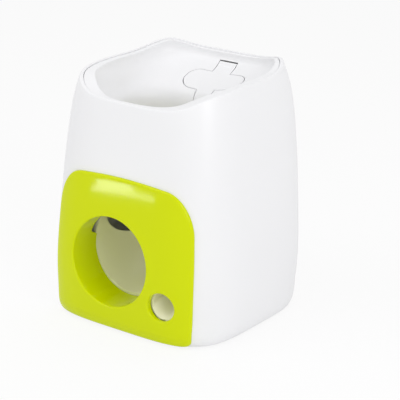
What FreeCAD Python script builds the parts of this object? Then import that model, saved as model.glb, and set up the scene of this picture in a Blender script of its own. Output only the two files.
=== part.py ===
# Free-standing ball drop that hands out treats, one solid or group of solids for each sub-part.
# Millimetres. The origin is on the floor under the middle of the body, +Z is up, the panel faces -Y.
import FreeCAD, Part
import math
import os

Vector = FreeCAD.Vector
RIGHT = Vector(1, 0, 0)
BACK = Vector(0, 1, 0)
UP = Vector(0, 0, 1)

# Overall size
BODY_WIDTH = 160.0
BODY_DEPTH = 160.0
BODY_HEIGHT = 200.0

# Walls and clearances
WALL = 2.5
FIT_GAP = 0.3
RUN_GAP = 0.05
SCREW_GAP = 0.1

# Body: height, inset from the widest half width and exponent of each rounded square section
FOOT_HEIGHT = 1.5
BODY_SECTIONS = (
    (FOOT_HEIGHT, 3.1, 4.2),
    (FOOT_HEIGHT + 4.0, 1.8, 4.25),
    (16.0, 0.7, 4.25),
    (40.0, 0.0, 4.3),
    (65.0, 0.6, 4.3),
    (90.0, 2.1, 4.35),
    (BODY_HEIGHT - 85.0, 3.8, 4.4),
    (BODY_HEIGHT - 60.0, 6.0, 4.45),
    (BODY_HEIGHT - 35.0, 8.9, 4.5),
    (BODY_HEIGHT - 15.0, 12.9, 4.6),
    (BODY_HEIGHT - 3.0, 16.6, 4.6),
    (BODY_HEIGHT + 10.0, 20.2, 4.6),
)
RING_POINTS = 32
BODY_SEAM = math.radians(90.0)
BOWL_SEAM = math.radians(180.0)

# Rim of the body: a wave round the top that is low at the front and high at the back corners
RIM_TILT = 9.6
RIM_SIDE = 3.5
RIM_CORNER = 2.4
RIM_HALF = 65.0
RIM_EXPONENT = 4.6
RIM_LEVEL = 0.6
RIM_GRID = 24
RIM_REACH = 86.0
RIM_SEAM = 0.8

# Front panel
PANEL_PROUD = 2.0
PANEL_SKIN = 1.8
PANEL_EDGE_ROUND = 1.2
PANEL_BOTTOM_HALF = 63.0
PANEL_MIDDLE_HALF = 64.1
PANEL_MIDDLE_HEIGHT = 50.0
PANEL_SHOULDER_HALF = 62.6
PANEL_SHOULDER_HEIGHT = 84.0
PANEL_CORNER_WIDTH = 24.4
PANEL_CORNER_HEIGHT = 36.0
PANEL_CROWN = 2.0
PANEL_BOTTOM_ROUND = 4.5
PANEL_BOSS_RADIUS = 3.6
PANEL_SCREW_HOLE = 4.5
PANEL_SCREW_GRIP = 4.0
PANEL_BOSS_PLACES = ((-52.0, 18.0), (56.0, 12.0), (-52.0, 92.0), (52.0, 92.0))

# Ball way
BALL_X = -8.2
EXIT_HEIGHT = 55.2
EXIT_RADIUS = 35.0
EXIT_ROUND = 1.2
TUNNEL_WALL = 2.0
TUNNEL_END_LOW = -50.0
TUNNEL_END_HIGH = -62.0
DROP_Y = -15.0
DROP_RADIUS = 36.0
CHUTE_WALL = 2.0
CHUTE_BEND = 40.0
CHUTE_HEIGHT = 57.8
CHUTE_RIB = 4.0
CHUTE_RIB_OFFSET = 18.0
CHUTE_RIB_BACK = 18.0
CHUTE_SCREW_INSET = 6.0
CHUTE_SCREW_FRONT = 2.0
WINDOW_Y = -10.0
WINDOW_HEIGHT = 85.0
WINDOW_RADIUS = 30.0
SOCKET_DEPTH = 6.0
SOCKET_GAP = 1.0

# Bowl: depth below the top, centre, half sizes and exponent of each section of the air in it
BOWL_SECTIONS = (
    (72.0, BALL_X, DROP_Y, DROP_RADIUS, DROP_RADIUS, 2.0),
    (60.0, BALL_X, DROP_Y, DROP_RADIUS, DROP_RADIUS, 2.0),
    (50.0, BALL_X, DROP_Y, DROP_RADIUS, DROP_RADIUS, 2.0),
    (41.0, BALL_X, DROP_Y, DROP_RADIUS + 0.5, DROP_RADIUS + 0.5, 2.0),
    (35.0, BALL_X, DROP_Y, DROP_RADIUS + 2.3, DROP_RADIUS + 2.3, 2.0),
    (30.0, BALL_X, DROP_Y, DROP_RADIUS + 6.0, DROP_RADIUS + 6.0, 2.1),
    (22.0, -5.0, -9.5, 49.0, 51.5, 2.7),
    (13.0, -1.2, -0.6, 56.6, 57.6, 3.6),
    (4.0, 0.0, 0.7, 57.6, 57.6, 4.3),
    (-15.0, 0.0, 1.0, 51.5, 51.5, 4.4),
)
BOWL_WALL = 2.0
BOWL_TUBE_END = BODY_HEIGHT - 64.0
BOWL_POST_PLACE = 54.0
BOWL_POST_RADIUS = 4.0
BOWL_POST_FOOT = BODY_HEIGHT - 50.0
LUG_RADIUS = 5.5
LUG_HEIGHT = 8.0
BOWL_SCREW_HOLE = 14.0
BOWL_SCREW_GRIP = 12.0
GUSSET_WIDTH = 5.0

# Treat lid in the back slope of the bowl
LID_X = 2.0
LID_HALF = 26.0
LID_FRONT = 27.0
LID_BACK = 47.0
LID_ROUND = 9.0
LID_GAP = 0.7
TAB_HALF = 8.0
TAB_BACK = 58.2
TONGUE_FRONT = 17.0
TONGUE_END = BODY_HEIGHT - 42.0
LID_TOP = BODY_HEIGHT - 12.8
HINGE_Y = 56.0
HINGE_DROP = 16.9
HINGE_HEIGHT = BODY_HEIGHT - HINGE_DROP
KNUCKLE_RADIUS = 2.6
HINGE_SWEEP = 5.6
HINGE_PIN_RADIUS = 1.25
HINGE_EAR = 3.2
HINGE_EAR_HALF = 3.0
HINGE_EAR_DROP = 3.2

# Paddle in the ball's way, its shaft along X and its gear
PADDLE_Y = 32.0
PADDLE_HEIGHT = 124.0
PADDLE_LENGTH = 40.0
PADDLE_THICKNESS = 3.0
PADDLE_HALF_WIDTH = 17.0
PADDLE_TURN = 75.0
HUB_RADIUS = 6.0
HUB_END = 2.0
SHAFT_RADIUS = 2.5
SLOT_GAP = 1.0
SLOT_DEPTH = 40.0

# Gears: stub teeth
GEAR_MODULE = 1.5
SECTOR_TEETH = 36
PINION_TEETH = 15
PRESSURE_ANGLE = math.radians(20.0)
ADDENDUM = 0.8
DEDENDUM = 1.05
TOOTH_SLACK = 0.12
MESH_DIRECTION = -56.0
GEAR_X = 50.0
GEAR_WIDTH = 5.0
SECTOR_HUB = 6.0
FLANK_STEPS = 5

# Metering drum
DRUM_RADIUS = 15.5
DRUM_LEFT = 26.0
DRUM_LENGTH = 20.0
DRUM_GAP = 0.4
POCKET_HALF = 6.5
POCKET_FLOOR = 4.0
POCKET_SIDE = 4.0
CRADLE_WALL = 2.0
CRADLE_PLATE = 3.0
CRADLE_MOUTH_SIDE = 3.0
CRADLE_LEG_HALF = 8.0

# Brackets
BRACKET_THICKNESS = 2.5
RIGHT_BRACKET_X = 57.0
LEFT_BRACKET_X = -42.0
BRACKET_FRONT = 25.5
BRACKET_ABOVE = 10.0
RIGHT_BRACKET_BACK = 62.0
RIGHT_BRACKET_FOOT = 53.0
RIGHT_BRACKET_STEP = 20.0
BUSH_RADIUS = 3.6
BUSH_FLANGE = 4.6
BUSH_FLANGE_THICKNESS = 0.8
CLIP_THICKNESS = 0.8
CLIP_RADIUS = 4.4
CLIP_GROOVE = 0.6
SHAFT_PAST_CLIP = 1.5

# Return spring round the shaft
SPRING_RADIUS = 4.6
SPRING_WIRE = 0.5
SPRING_TURNS = 6
SPRING_PITCH = 1.35
SPRING_LEG = 2.0
SPRING_GROOVE_GAP = 0.4

# Treat store and treat tube
TREAT_X = 40.6
PORT_HEIGHT = 31.1
PORT_RADIUS = 11.0
PORT_WALL = 1.6
PORT_COLLAR = 4.0
TREAT_TUBE_RADIUS = 10.0
TREAT_TUBE_WALL = 1.5
TREAT_TUBE_FRONT = -74.0
TREAT_TUBE_BACK = 68.0
TREAT_TUBE_RISE = 0.5
TREAT_SLOPE = math.radians(16.0)
TREAT_FOOT_Y = 38.0
HOPPER_WALL = 1.6
HOPPER_LEFT = -26.0
HOPPER_RIGHT = 45.0
HOPPER_FRONT = 26.5
HOPPER_BACK = 63.0
HOPPER_BEND = BODY_HEIGHT - 44.0
HOPPER_OUTLET_HALF = 7.0
HOPPER_FLANGE_HEIGHT = 10.0
HOPPER_SCREW_PLACES = (-16.0, 32.0)
HOPPER_SCREW_HOLE = 5.5
HOPPER_SCREW_GRIP = 5.0

# Base
PLATE_THICKNESS = 3.0
PLATE_TOP = FOOT_HEIGHT + PLATE_THICKNESS
BASE_BOSS_PLACE = 59.5
BASE_BOSS_RADIUS = 5.0
BASE_BOSS_HEIGHT = 18.0
BASE_SCREW_GRIP = 13.0
FOOT_PLACE = 46.0
FOOT_RADIUS = 8.0
FOOT_ROUND = 0.6
FLANGE_THICKNESS = 2.5
FLANGE_WIDTH = 10.0

# Screws
SCREW_RADIUS = 1.5
SCREW_HEAD_RADIUS = 3.0
SCREW_HEAD_HEIGHT = 2.0
RECESS_WIDTH = 0.9
RECESS_LENGTH = 3.4
RECESS_DEPTH = 1.1

# Sizes worked out from the ones above
BODY_MIDDLE_Y = PANEL_PROUD / 2
GEAR_DISTANCE = GEAR_MODULE * (SECTOR_TEETH + PINION_TEETH) / 2
DRUM_Y = PADDLE_Y + GEAR_DISTANCE * math.cos(math.radians(MESH_DIRECTION))
DRUM_HEIGHT = PADDLE_HEIGHT + GEAR_DISTANCE * math.sin(math.radians(MESH_DIRECTION))
DRUM_RIGHT = DRUM_LEFT + DRUM_LENGTH
CRADLE_INNER = DRUM_RADIUS + DRUM_GAP
CRADLE_OUTER = CRADLE_INNER + CRADLE_WALL
CRADLE_LEFT = DRUM_LEFT - DRUM_GAP
CRADLE_RIGHT = DRUM_RIGHT + DRUM_GAP
ELBOW_Y = DROP_Y - CHUTE_BEND
ELBOW_HEIGHT = CHUTE_HEIGHT + CHUTE_BEND
CHUTE_OUTER = DROP_RADIUS + CHUTE_WALL
CHUTE_FRONT = TUNNEL_END_LOW + FIT_GAP
HUB_LEFT = BALL_X - PADDLE_HALF_WIDTH - HUB_END
HUB_RIGHT = BALL_X + PADDLE_HALF_WIDTH + HUB_END
SPAN = 100.0
FAR = 4 * SPAN
PAST = 5.0


def box(x_range, y_range, z_range):
    corner = Vector(x_range[0], y_range[0], z_range[0])
    sizes = [high - low for low, high in (x_range, y_range, z_range)]
    return Part.makeBox(*sizes, corner)


def rod_x(y, z, radius, x_range):
    return Part.makeCylinder(radius, x_range[1] - x_range[0], Vector(x_range[0], y, z), RIGHT)


def rod_y(x, z, radius, y_range):
    return Part.makeCylinder(radius, y_range[1] - y_range[0], Vector(x, y_range[0], z), BACK)


def rod_z(x, y, radius, z_range):
    return Part.makeCylinder(radius, z_range[1] - z_range[0], Vector(x, y, z_range[0]), UP)


def side_plate(points, x_range):
    """A flat plate across X whose outline is given as (y, z) points."""
    corners = [Vector(x_range[0], y, z) for y, z in points]
    outline = Part.makePolygon(corners + corners[:1])
    return Part.Face(outline).extrude(RIGHT * (x_range[1] - x_range[0]))


def joined(shapes):
    return shapes[0].multiFuse(shapes[1:]).removeSplitter()


def without(shape, tools):
    return shape.cut(list(tools))


def rounded_square(angle, half, exponent):
    """Point of a rounded square about the origin, in the direction of the angle."""
    along = math.cos(angle)
    across = math.sin(angle)
    reach = (abs(along / half[0]) ** exponent + abs(across / half[1]) ** exponent) ** (-1 / exponent)
    return reach * along, reach * across


def closed_curve(points):
    curve = Part.BSplineCurve()
    curve.interpolate(Points=points, PeriodicFlag=True)
    return curve.toShape()


def ring(centre, half, exponent, z, seam):
    """A closed rounded-square curve whose ends meet at the seam angle."""
    points = []
    for index in range(RING_POINTS):
        x, y = rounded_square(seam + math.tau * index / RING_POINTS, half, exponent)
        points.append(Vector(centre[0] + x, centre[1] + y, z))
    return Part.Wire(closed_curve(points))


def body_loft(grow, low=0.0):
    """The body's outer form, grown by a wall and lengthened downwards by low."""
    rings = []
    for z, inset, exponent in BODY_SECTIONS:
        half = (BODY_WIDTH / 2 - inset + grow, (BODY_DEPTH - PANEL_PROUD) / 2 - inset + grow)
        if low and not rings:
            rings.append(ring((0, BODY_MIDDLE_Y), half, exponent, z - low, BODY_SEAM))
        rings.append(ring((0, BODY_MIDDLE_Y), half, exponent, z, BODY_SEAM))
    return Part.makeLoft(rings, True, False)


def body_half(z):
    """Half width of the body at a height, on straight lines between the sections."""
    for (z0, inset0, _), (z1, inset1, _) in zip(BODY_SECTIONS, BODY_SECTIONS[1:]):
        if z <= z1:
            share = (z - z0) / (z1 - z0)
            return BODY_WIDTH / 2 - inset0 - share * (inset1 - inset0)
    return BODY_WIDTH / 2 - BODY_SECTIONS[-1][1]


def front_of_body(x, z):
    """The y of the housing's outer face at the front."""
    half = body_half(z)
    depth = half - (BODY_WIDTH - BODY_DEPTH + PANEL_PROUD) / 2
    exponent = BODY_SECTIONS[3][2]
    return BODY_MIDDLE_Y - depth * (1 - abs(x / half) ** exponent) ** (1 / exponent)


def rim_rise(angle):
    return RIM_TILT * math.sin(angle) + RIM_SIDE * math.cos(2 * angle) - RIM_CORNER * math.cos(4 * angle)


RIM_PEAK = max(rim_rise(math.radians(step / 4)) for step in range(1440))


def rim_height(x, y):
    """Height of the rim's wave in the direction of a point, level near the middle."""
    across = abs(x / RIM_HALF) ** RIM_EXPONENT
    along = abs(y / RIM_HALF) ** RIM_EXPONENT
    reach = (across + along) ** (1 / RIM_EXPONENT)
    share = min(1.0, reach / RIM_LEVEL)
    angle = math.atan2(math.copysign(math.sqrt(along), y), math.copysign(math.sqrt(across), x))
    return BODY_HEIGHT - RIM_PEAK + rim_rise(angle) * share ** 2 * (3 - 2 * share)


def above_rim(drop):
    """Everything above the rim's wave, lowered by drop."""
    rows = []
    for row in range(RIM_GRID):
        x = RIM_REACH * (2 * row / (RIM_GRID - 1) - 1)
        line = []
        for column in range(RIM_GRID):
            y = RIM_REACH * (2 * column / (RIM_GRID - 1) - 1)
            line.append(Vector(x, BODY_MIDDLE_Y + y, rim_height(x, y) - drop))
        rows.append(line)
    wave = Part.BSplineSurface()
    wave.interpolate(rows)
    return wave.toShape().extrude(UP * 2 * RIM_REACH)


def bowl_air(grow):
    """The air in the bowl and its tube. Grown, it is the outside of the bowl's wall."""
    rings = []
    for depth, x, y, half_x, half_y, exponent in BOWL_SECTIONS:
        half = (half_x + grow, half_y + grow)
        rings.append(ring((x, y), half, exponent, BODY_HEIGHT - depth - grow, BOWL_SEAM))
    return Part.makeLoft(rings, True, False)


def corner_signs():
    return [(side, end) for side in (-1, 1) for end in (-1, 1)]


def gusset(place, side, end, z_range):
    """A web from a corner boss out into the body's corner wall."""
    web = box((0, SPAN / 2), (-GUSSET_WIDTH / 2, GUSSET_WIDTH / 2), z_range)
    web.rotate(Vector(0, 0, 0), UP, math.degrees(math.atan2(end, side)))
    web.translate(Vector(side * place, BODY_MIDDLE_Y + end * place, 0))
    return web


def screw(length):
    """A cross-head screw that points down, its head's underside at the origin."""
    head = Part.makeCylinder(SCREW_HEAD_RADIUS, SCREW_HEAD_HEIGHT)
    top_edge = [edge for edge in head.Edges if edge.BoundBox.ZMin > SCREW_HEAD_HEIGHT / 2]
    head = head.makeFillet(SCREW_HEAD_HEIGHT / 3, top_edge)
    shank = Part.makeCylinder(SCREW_RADIUS, length, Vector(0, 0, -length))
    depth = (SCREW_HEAD_HEIGHT - RECESS_DEPTH, SCREW_HEAD_HEIGHT + 1)
    wide = (-RECESS_WIDTH / 2, RECESS_WIDTH / 2)
    long = (-RECESS_LENGTH / 2, RECESS_LENGTH / 2)
    return without(head.fuse(shank), [box(wide, long, depth), box(long, wide, depth)])


def screw_at(place, length, direction):
    """The screw with its head's underside at place, pointing along direction."""
    shape = screw(length)
    shape.Placement = FreeCAD.Placement(Vector(*place), FreeCAD.Rotation(UP * -1, direction))
    return shape


FLOOR_SCREWS = (
    (RIGHT_BRACKET_X + 6.5, BRACKET_FRONT + 6.0),
    (RIGHT_BRACKET_X + 6.5, RIGHT_BRACKET_FOOT - 6.0),
    (LEFT_BRACKET_X - 5.5, PADDLE_Y),
    (CRADLE_LEFT - CRADLE_PLATE - 5.0, DRUM_Y),
    (TREAT_X, TREAT_FOOT_Y - 8.0),
    (BALL_X - CHUTE_RIB_OFFSET, CHUTE_FRONT + CHUTE_SCREW_FRONT),
    (BALL_X + CHUTE_RIB_OFFSET, CHUTE_FRONT + CHUTE_SCREW_FRONT),
    (BALL_X - CHUTE_RIB_OFFSET, CHUTE_RIB_BACK - CHUTE_SCREW_INSET),
    (BALL_X + CHUTE_RIB_OFFSET, CHUTE_RIB_BACK - CHUTE_SCREW_INSET),
)


def floor_flange(x_range, y_range, holes):
    flange = box(x_range, y_range, (PLATE_TOP, PLATE_TOP + FLANGE_THICKNESS))
    bores = []
    for x, y in holes:
        bores.append(rod_z(x, y, SCREW_RADIUS + SCREW_GAP, (PLATE_TOP - 1, PLATE_TOP + SPAN / 5)))
    return flange, bores


def make_housing():
    body = body_loft(0)
    shell = body.cut(body_loft(-WALL, low=PAST))
    additions = []
    bores = []
    for side, end in corner_signs():
        x = side * BASE_BOSS_PLACE
        y = BODY_MIDDLE_Y + end * BASE_BOSS_PLACE
        boss = (PLATE_TOP, PLATE_TOP + BASE_BOSS_HEIGHT)
        additions.append(rod_z(x, y, BASE_BOSS_RADIUS, boss))
        additions.append(gusset(BASE_BOSS_PLACE, side, end, boss))
        bores.append(rod_z(x, y, SCREW_RADIUS + SCREW_GAP, (PLATE_TOP - 1, boss[1] - 2)))
        x = side * BOWL_POST_PLACE
        y = BODY_MIDDLE_Y + end * BOWL_POST_PLACE
        lug = (BOWL_POST_FOOT - LUG_HEIGHT, BOWL_POST_FOOT)
        additions.append(rod_z(x, y, LUG_RADIUS, lug))
        additions.append(gusset(BOWL_POST_PLACE, side, end, lug))
        bores.append(rod_z(x, y, SCREW_RADIUS + SCREW_GAP, (lug[0] - 1, lug[1] + 1)))
    for x in HOPPER_SCREW_PLACES:
        z = HOPPER_BEND + HOPPER_FLANGE_HEIGHT / 2
        additions.append(rod_y(x, z, BOWL_POST_RADIUS, (HOPPER_BACK + HOPPER_WALL, SPAN)))
        bores.append(rod_y(x, z, SCREW_RADIUS + SCREW_GAP, (HOPPER_BACK, HOPPER_BACK + HOPPER_WALL + HOPPER_SCREW_HOLE)))
    additions = [piece.common(body_loft(-WALL / 2)) for piece in additions]
    shell = joined([shell] + additions)
    tunnel = EXIT_RADIUS + TUNNEL_WALL + FIT_GAP
    port = PORT_RADIUS + PORT_WALL + FIT_GAP
    bores.append(rod_y(BALL_X, EXIT_HEIGHT, tunnel, (-SPAN, TUNNEL_END_LOW)))
    bores.append(rod_y(TREAT_X, PORT_HEIGHT, port, (-SPAN, TUNNEL_END_LOW)))
    for x, z in PANEL_BOSS_PLACES:
        bores.append(rod_y(x, z, PANEL_BOSS_RADIUS + FIT_GAP, (-SPAN, TUNNEL_END_LOW)))
    bores.append(above_rim(0))
    return without(shell, bores)


def panel_prism():
    """The panel's outline seen from the front, as a deep prism."""
    low = FOOT_HEIGHT
    corner_x = PANEL_SHOULDER_HALF - PANEL_CORNER_WIDTH
    top = PANEL_SHOULDER_HEIGHT + PANEL_CORNER_HEIGHT
    start = low + PANEL_BOTTOM_ROUND
    bend = PANEL_BOTTOM_ROUND * (1 - math.sqrt(0.5))

    def at(x, z):
        return Vector(x, -SPAN, z)

    edges = [Part.LineSegment(at(PANEL_BOTTOM_ROUND - PANEL_BOTTOM_HALF, low),
                              at(PANEL_BOTTOM_HALF - PANEL_BOTTOM_ROUND, low)).toShape()]
    for side in (-1, 1):
        foot = at(side * (PANEL_BOTTOM_HALF - PANEL_BOTTOM_ROUND), low)
        knee = at(side * (PANEL_BOTTOM_HALF - bend), low + bend)
        hip = at(side * PANEL_BOTTOM_HALF, start)
        middle = at(side * PANEL_MIDDLE_HALF, PANEL_MIDDLE_HEIGHT)
        shoulder = at(side * PANEL_SHOULDER_HALF, PANEL_SHOULDER_HEIGHT)
        edges.append(Part.Arc(foot, knee, hip).toShape())
        edges.append(Part.Arc(hip, middle, shoulder).toShape())
        points = []
        for step in range(7):
            angle = math.pi / 2 * step / 6
            x = side * (corner_x + PANEL_CORNER_WIDTH * math.cos(angle))
            points.append(at(x, PANEL_SHOULDER_HEIGHT + PANEL_CORNER_HEIGHT * math.sin(angle)))
        curve = Part.BSplineCurve()
        curve.interpolate(Points=points)
        edges.append(curve.toShape())
    edges.append(Part.Arc(at(-corner_x, top), at(0, top + PANEL_CROWN), at(corner_x, top)).toShape())
    outline = Part.Wire(Part.__sortEdges__(edges))
    return Part.Face(outline).extrude(BACK * (SPAN - 30.0))


def tunnel_end():
    """What lies behind the slanted end of the ball tunnel."""
    radius = EXIT_RADIUS + TUNNEL_WALL
    slope = (TUNNEL_END_HIGH - TUNNEL_END_LOW) / (2 * radius)
    low = EXIT_HEIGHT - 2 * radius
    high = EXIT_HEIGHT + 2 * radius
    low_y = TUNNEL_END_LOW - slope * radius
    high_y = TUNNEL_END_HIGH + slope * radius
    points = ((low_y, low), (high_y, high), (SPAN, high), (SPAN, low))
    return side_plate(points, (-SPAN, SPAN))


def make_front_panel():
    skin = body_loft(PANEL_PROUD).cut(body_loft(PANEL_PROUD - PANEL_SKIN, low=PAST))
    skin = skin.common(panel_prism())
    outer = max(skin.Faces, key=lambda face: face.Area)
    skin = skin.makeFillet(PANEL_EDGE_ROUND, outer.Edges)
    inside = body_loft(PANEL_PROUD - PANEL_SKIN / 2, low=PAST)
    deep = (-SPAN, TUNNEL_END_LOW)
    tunnel = rod_y(BALL_X, EXIT_HEIGHT, EXIT_RADIUS + TUNNEL_WALL, deep).cut(tunnel_end())
    collar_end = front_of_body(TREAT_X, PORT_HEIGHT) - PANEL_PROUD + PORT_COLLAR
    additions = [tunnel, rod_y(TREAT_X, PORT_HEIGHT, PORT_RADIUS + PORT_WALL, (-SPAN, collar_end))]
    bores = []
    for x, z in PANEL_BOSS_PLACES:
        end = front_of_body(x, z) + WALL + FIT_GAP
        additions.append(rod_y(x, z, PANEL_BOSS_RADIUS, (-SPAN, end)))
        bores.append(rod_y(x, z, SCREW_RADIUS + SCREW_GAP, (end - PANEL_SCREW_HOLE, end + 1)))
    additions = [piece.common(inside) for piece in additions]
    panel = joined([skin] + additions)
    bores.append(rod_y(BALL_X, EXIT_HEIGHT, EXIT_RADIUS, (-SPAN, 0)))
    bores.append(rod_y(TREAT_X, PORT_HEIGHT, PORT_RADIUS, (-SPAN, 0)))
    panel = without(panel, bores)
    lips = []
    for edge in panel.Edges:
        bound = edge.BoundBox
        for x, z, radius in ((BALL_X, EXIT_HEIGHT, EXIT_RADIUS), (TREAT_X, PORT_HEIGHT, PORT_RADIUS)):
            near = abs(bound.Center.x - x) < 1 and abs(bound.Center.z - z) < 1
            if near and abs(bound.XLength - 2 * radius) < 0.5 and bound.YMax < front_of_body(x, z) + 1:
                lips.append(edge)
    return panel.makeFillet(EXIT_ROUND, lips)


def rounded_slab(x_range, y_range, z_range, radius):
    slab = box(x_range, y_range, z_range)
    uprights = [edge for edge in slab.Edges if edge.BoundBox.ZLength > (z_range[1] - z_range[0]) / 2]
    return slab.makeFillet(radius, uprights)


def lid_prism(grow):
    """The lid's outline from above: a wide plate, a hinge tab behind and a finger tongue in front."""
    tall = (BODY_HEIGHT - 45.0, LID_TOP + grow)
    plate = rounded_slab(
        (LID_X - LID_HALF - grow, LID_X + LID_HALF + grow),
        (LID_FRONT - grow, LID_BACK + grow),
        tall,
        LID_ROUND + grow,
    )
    tab = box(
        (LID_X - TAB_HALF - grow, LID_X + TAB_HALF + grow),
        (LID_BACK - LID_ROUND, TAB_BACK + grow),
        tall,
    )
    tongue = box(
        (LID_X - TAB_HALF - grow, LID_X + TAB_HALF + grow),
        (TONGUE_FRONT - grow, LID_FRONT + LID_ROUND),
        (TONGUE_END - grow, LID_TOP + grow),
    )
    return joined([plate, tab, tongue])


def make_top_bowl():
    air = bowl_air(0)
    plug = body_loft(-WALL - FIT_GAP)
    kept = [bowl_air(BOWL_WALL)]
    bores = [box((-SPAN, SPAN), (-SPAN, SPAN), (0, BOWL_TUBE_END))]
    for side, end in corner_signs():
        x = side * BOWL_POST_PLACE
        y = BODY_MIDDLE_Y + end * BOWL_POST_PLACE
        kept.append(rod_z(x, y, BOWL_POST_RADIUS, (BOWL_POST_FOOT, BODY_HEIGHT + PAST)))
        bores.append(rod_z(x, y, SCREW_RADIUS + SCREW_GAP, (BOWL_POST_FOOT - 1, BOWL_POST_FOOT + BOWL_SCREW_HOLE)))
    for side in (-1, 1):
        near = LID_X + side * (TAB_HALF + LID_GAP + FIT_GAP)
        far = near + side * HINGE_EAR
        kept.append(box(
            (min(near, far), max(near, far)),
            (HINGE_Y - HINGE_EAR_HALF, HINGE_Y + HINGE_EAR_HALF),
            (HINGE_HEIGHT - HINGE_EAR_DROP, BODY_HEIGHT + PAST),
        ))
    wide = BODY_WIDTH / 2
    under = box((-wide, wide), (-wide, wide), (-10.0, BODY_HEIGHT + 10.0))
    under = under.cut(above_rim(RIM_SEAM + BOWL_WALL)).cut(kept)
    bowl = plug.cut(air).cut(above_rim(RIM_SEAM)).cut(under)
    sweep = (LID_X - TAB_HALF - LID_GAP, LID_X + TAB_HALF + LID_GAP)
    bores.append(lid_prism(LID_GAP))
    bores.append(rod_x(HINGE_Y, HINGE_HEIGHT, HINGE_SWEEP, sweep))
    bores.append(rod_x(HINGE_Y, HINGE_HEIGHT, HINGE_PIN_RADIUS, (-SPAN / 2, SPAN / 2)))
    cut = without(bowl, bores)
    return max(cut.Solids, key=lambda solid: solid.Volume)


def make_treat_lid():
    skin = bowl_air(BOWL_WALL).cut(bowl_air(0)).common(lid_prism(0))
    tab = (LID_X - TAB_HALF, LID_X + TAB_HALF)
    knuckle = rod_x(HINGE_Y, HINGE_HEIGHT, KNUCKLE_RADIUS, tab)
    bore = rod_x(HINGE_Y, HINGE_HEIGHT, HINGE_PIN_RADIUS + RUN_GAP, (-SPAN / 2, SPAN / 2))
    return joined([skin, knuckle]).cut(bore)


def make_lid_hinge_pin():
    reach = TAB_HALF + LID_GAP + FIT_GAP + HINGE_EAR
    return rod_x(HINGE_Y, HINGE_HEIGHT, HINGE_PIN_RADIUS, (LID_X - reach, LID_X + reach))


def elbow(radius):
    """A bend of round bar from the vertical drop to the level run-out."""
    circle = Part.Circle(Vector(BALL_X, DROP_Y, ELBOW_HEIGHT), UP, radius).toShape()
    disc = Part.Face(Part.Wire(circle))
    return disc.revolve(Vector(0, ELBOW_Y, ELBOW_HEIGHT), RIGHT, -90.0)


def make_ball_chute():
    socket = (BOWL_TUBE_END - SOCKET_DEPTH, BOWL_TUBE_END + SOCKET_DEPTH / 2)
    tube = (ELBOW_HEIGHT, BOWL_TUBE_END - FIT_GAP)
    collar = CHUTE_OUTER + SOCKET_GAP + CHUTE_WALL
    outside = [elbow(CHUTE_OUTER), rod_z(BALL_X, DROP_Y, CHUTE_OUTER, tube)]
    outside.append(rod_z(BALL_X, DROP_Y, collar, socket))
    holes = []
    for side in (-1, 1):
        x = BALL_X + side * CHUTE_RIB_OFFSET
        half = CHUTE_RIB / 2
        rib = box((x - half, x + half), (CHUTE_FRONT, CHUTE_RIB_BACK), (PLATE_TOP, CHUTE_HEIGHT - 10.0))
        flange, bores = floor_flange(
            (x - FLANGE_WIDTH / 2, x + FLANGE_WIDTH / 2),
            (CHUTE_FRONT, CHUTE_RIB_BACK),
            [place for place in FLOOR_SCREWS if abs(place[0] - x) < 0.01],
        )
        outside += [rib, flange]
        holes += bores
        for bore in bores:
            centre = bore.BoundBox.Center
            high = (PLATE_TOP + FLANGE_THICKNESS, PLATE_TOP + FLANGE_THICKNESS + SCREW_HEAD_HEIGHT + 1)
            holes.append(rod_z(centre.x, centre.y, SCREW_HEAD_RADIUS + FIT_GAP, high))
    holes += [
        elbow(DROP_RADIUS),
        rod_z(BALL_X, DROP_Y, DROP_RADIUS, (ELBOW_HEIGHT, FAR)),
        rod_z(BALL_X, DROP_Y, CHUTE_OUTER + SOCKET_GAP, (BOWL_TUBE_END - FIT_GAP, FAR)),
        rod_x(WINDOW_Y, WINDOW_HEIGHT, WINDOW_RADIUS, (BALL_X - SPAN, BALL_X)),
        box(
            (HUB_LEFT + HUB_END - SLOT_GAP, HUB_RIGHT - HUB_END + SLOT_GAP),
            (DROP_Y + DROP_RADIUS / 2, PADDLE_Y),
            (PADDLE_HEIGHT - SLOT_DEPTH, PADDLE_HEIGHT + PADDLE_THICKNESS),
        ),
        box((-SPAN, SPAN), (-SPAN, CHUTE_FRONT), (0, FAR)),
    ]
    return without(joined(outside), holes)


def make_trigger_paddle():
    hub = rod_x(PADDLE_Y, PADDLE_HEIGHT, HUB_RADIUS, (HUB_LEFT, HUB_RIGHT))
    half = PADDLE_THICKNESS / 2
    width = (BALL_X - PADDLE_HALF_WIDTH, BALL_X + PADDLE_HALF_WIDTH)
    blade = box(width, (PADDLE_Y - PADDLE_LENGTH, PADDLE_Y), (PADDLE_HEIGHT - half, PADDLE_HEIGHT + half))
    tips = [edge for edge in blade.Edges
            if edge.BoundBox.YMax < PADDLE_Y - PADDLE_LENGTH / 2 and edge.BoundBox.ZLength > half]
    blade = blade.makeFillet(PADDLE_HALF_WIDTH / 2, tips)
    depth = (HUB_LEFT - 1, HUB_LEFT + SPRING_LEG + FIT_GAP)
    groove = SPRING_WIRE + SPRING_GROOVE_GAP
    outer = rod_x(PADDLE_Y, PADDLE_HEIGHT, SPRING_RADIUS + groove, depth)
    inner = rod_x(PADDLE_Y, PADDLE_HEIGHT, SPRING_RADIUS - groove, depth)
    bore = rod_x(PADDLE_Y, PADDLE_HEIGHT, SHAFT_RADIUS, (-SPAN, SPAN))
    return without(joined([hub, blade]), [outer.cut(inner), bore])


def grooved_shaft(y, z, x_range, grooves):
    shaft = rod_x(y, z, SHAFT_RADIUS, x_range)
    for x in grooves:
        band = (x, x + CLIP_THICKNESS)
        cut = rod_x(y, z, SHAFT_RADIUS + 1, band).cut(rod_x(y, z, SHAFT_RADIUS - CLIP_GROOVE, band))
        shaft = shaft.cut(cut)
    return shaft


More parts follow.
